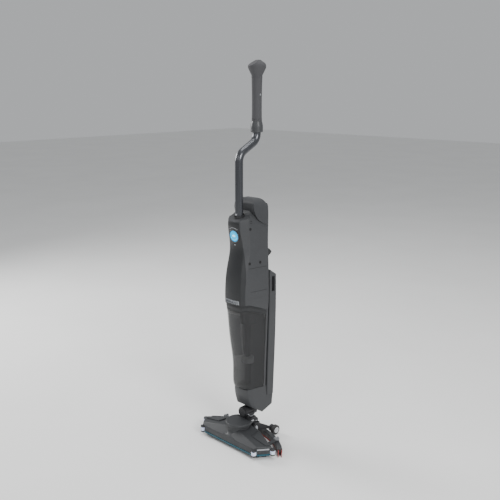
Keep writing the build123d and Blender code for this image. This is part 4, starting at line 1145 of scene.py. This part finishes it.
class SCRUBBER_OT_stage(bpy.types.Operator):
    """Pale floor, soft studio light and the camera"""

    bl_idname = "scrubber.stage"
    bl_label = "Stage"

    def execute(self, context):
        scene = context.scene
        bm = bmesh.new()
        bmesh.ops.create_grid(bm, x_segments=1, y_segments=1, size=FLOOR_HALF)
        mesh = bpy.data.meshes.new("floor")
        bm.to_mesh(mesh)
        bm.free()
        floor = bpy.data.objects.new("floor", mesh)
        context.collection.objects.link(floor)
        paint = Finish("floor_paint", (0.84, 0.84, 0.83), 0.75)
        paint.shade(paint.noise(2.0, 3.0), 0.015)
        mesh.materials.append(paint.material)
        for light in LIGHTS:
            add_area_light(*light)
        world = bpy.data.worlds.new("studio")
        world.use_nodes = True
        sky = world.node_tree.nodes["Background"]
        sky.inputs["Color"].default_value = (0.86, 0.88, 0.90, 1)
        sky.inputs["Strength"].default_value = 0.55
        scene.world = world
        scene.camera = main_camera(context)
        return {"FINISHED"}


def add_area_light(name, place, target, size, power):
    light = bpy.data.lights.new(name, "AREA")
    light.shape = "DISK"
    light.size = size
    light.energy = power
    lamp = bpy.data.objects.new(name, light)
    lamp.location = place
    lamp.rotation_euler = (Vector(target) - Vector(place)).to_track_quat("-Z", "Y").to_euler()
    bpy.context.collection.objects.link(lamp)


CAMERA_AZIMUTH = radians(44.25)
CAMERA_PITCH = radians(13.36)
CAMERA_DISTANCE = 2.0745
CAMERA_HEIGHT = 1.1275
CAMERA_ORBIT_Y = -0.012
CAMERA_SHIFT = 0.0116


def main_camera(context):
    """The camera, turned towards the machine from its front left."""
    data = bpy.data.cameras.new("camera")
    data.lens = 50
    data.sensor_width = 36
    data.shift_x = CAMERA_SHIFT
    camera = bpy.data.objects.new("camera", data)
    camera.location = (CAMERA_DISTANCE * sin(CAMERA_AZIMUTH),
                       -CAMERA_DISTANCE * cos(CAMERA_AZIMUTH) + CAMERA_ORBIT_Y, CAMERA_HEIGHT)
    camera.rotation_euler = (pi / 2 - CAMERA_PITCH, 0, CAMERA_AZIMUTH)
    context.collection.objects.link(camera)
    return camera


class SCRUBBER_PT_panel(bpy.types.Panel):
    """Sidebar panel that lists the scrubber's colours, sizes and operators"""

    bl_idname = "SCRUBBER_PT_panel"
    bl_label = "Floor scrubber"
    bl_space_type = "VIEW_3D"
    bl_region_type = "UI"
    bl_category = "Scrubber"

    def draw(self, context):
        for group in (context.scene.scrubber_colours, context.scene.scrubber_sizes):
            for name in group.__annotations__:
                self.layout.prop(group, name)
        for operator in OPERATORS:
            self.layout.operator(operator.bl_idname)


GROUPS = (ScrubberColours, ScrubberSizes)
OPERATORS = (
    SCRUBBER_OT_stage,
    SCRUBBER_OT_finishes,
    SCRUBBER_OT_bristles,
    SCRUBBER_OT_collar,
    SCRUBBER_OT_display,
    SCRUBBER_OT_screws,
    SCRUBBER_OT_grooves,
    SCRUBBER_OT_vents,
    SCRUBBER_OT_grip,
    SCRUBBER_OT_tank_insides,
    SCRUBBER_OT_wing_trim,
    SCRUBBER_OT_neck_cheeks,
    SCRUBBER_OT_arm_caps,
    SCRUBBER_OT_latch_ribs,
)


def register():
    for each in (*GROUPS, *OPERATORS, SCRUBBER_PT_panel):
        bpy.utils.register_class(each)
    bpy.types.Scene.scrubber_colours = PointerProperty(type=ScrubberColours)
    bpy.types.Scene.scrubber_sizes = PointerProperty(type=ScrubberSizes)


def unregister():
    del bpy.types.Scene.scrubber_sizes
    del bpy.types.Scene.scrubber_colours
    for each in reversed((*GROUPS, *OPERATORS, SCRUBBER_PT_panel)):
        bpy.utils.unregister_class(each)


def main():
    register()
    for operator in OPERATORS:
        namespace, name = operator.bl_idname.split(".")
        getattr(getattr(bpy.ops, namespace), name)()


if __name__ == "__main__":
    main()
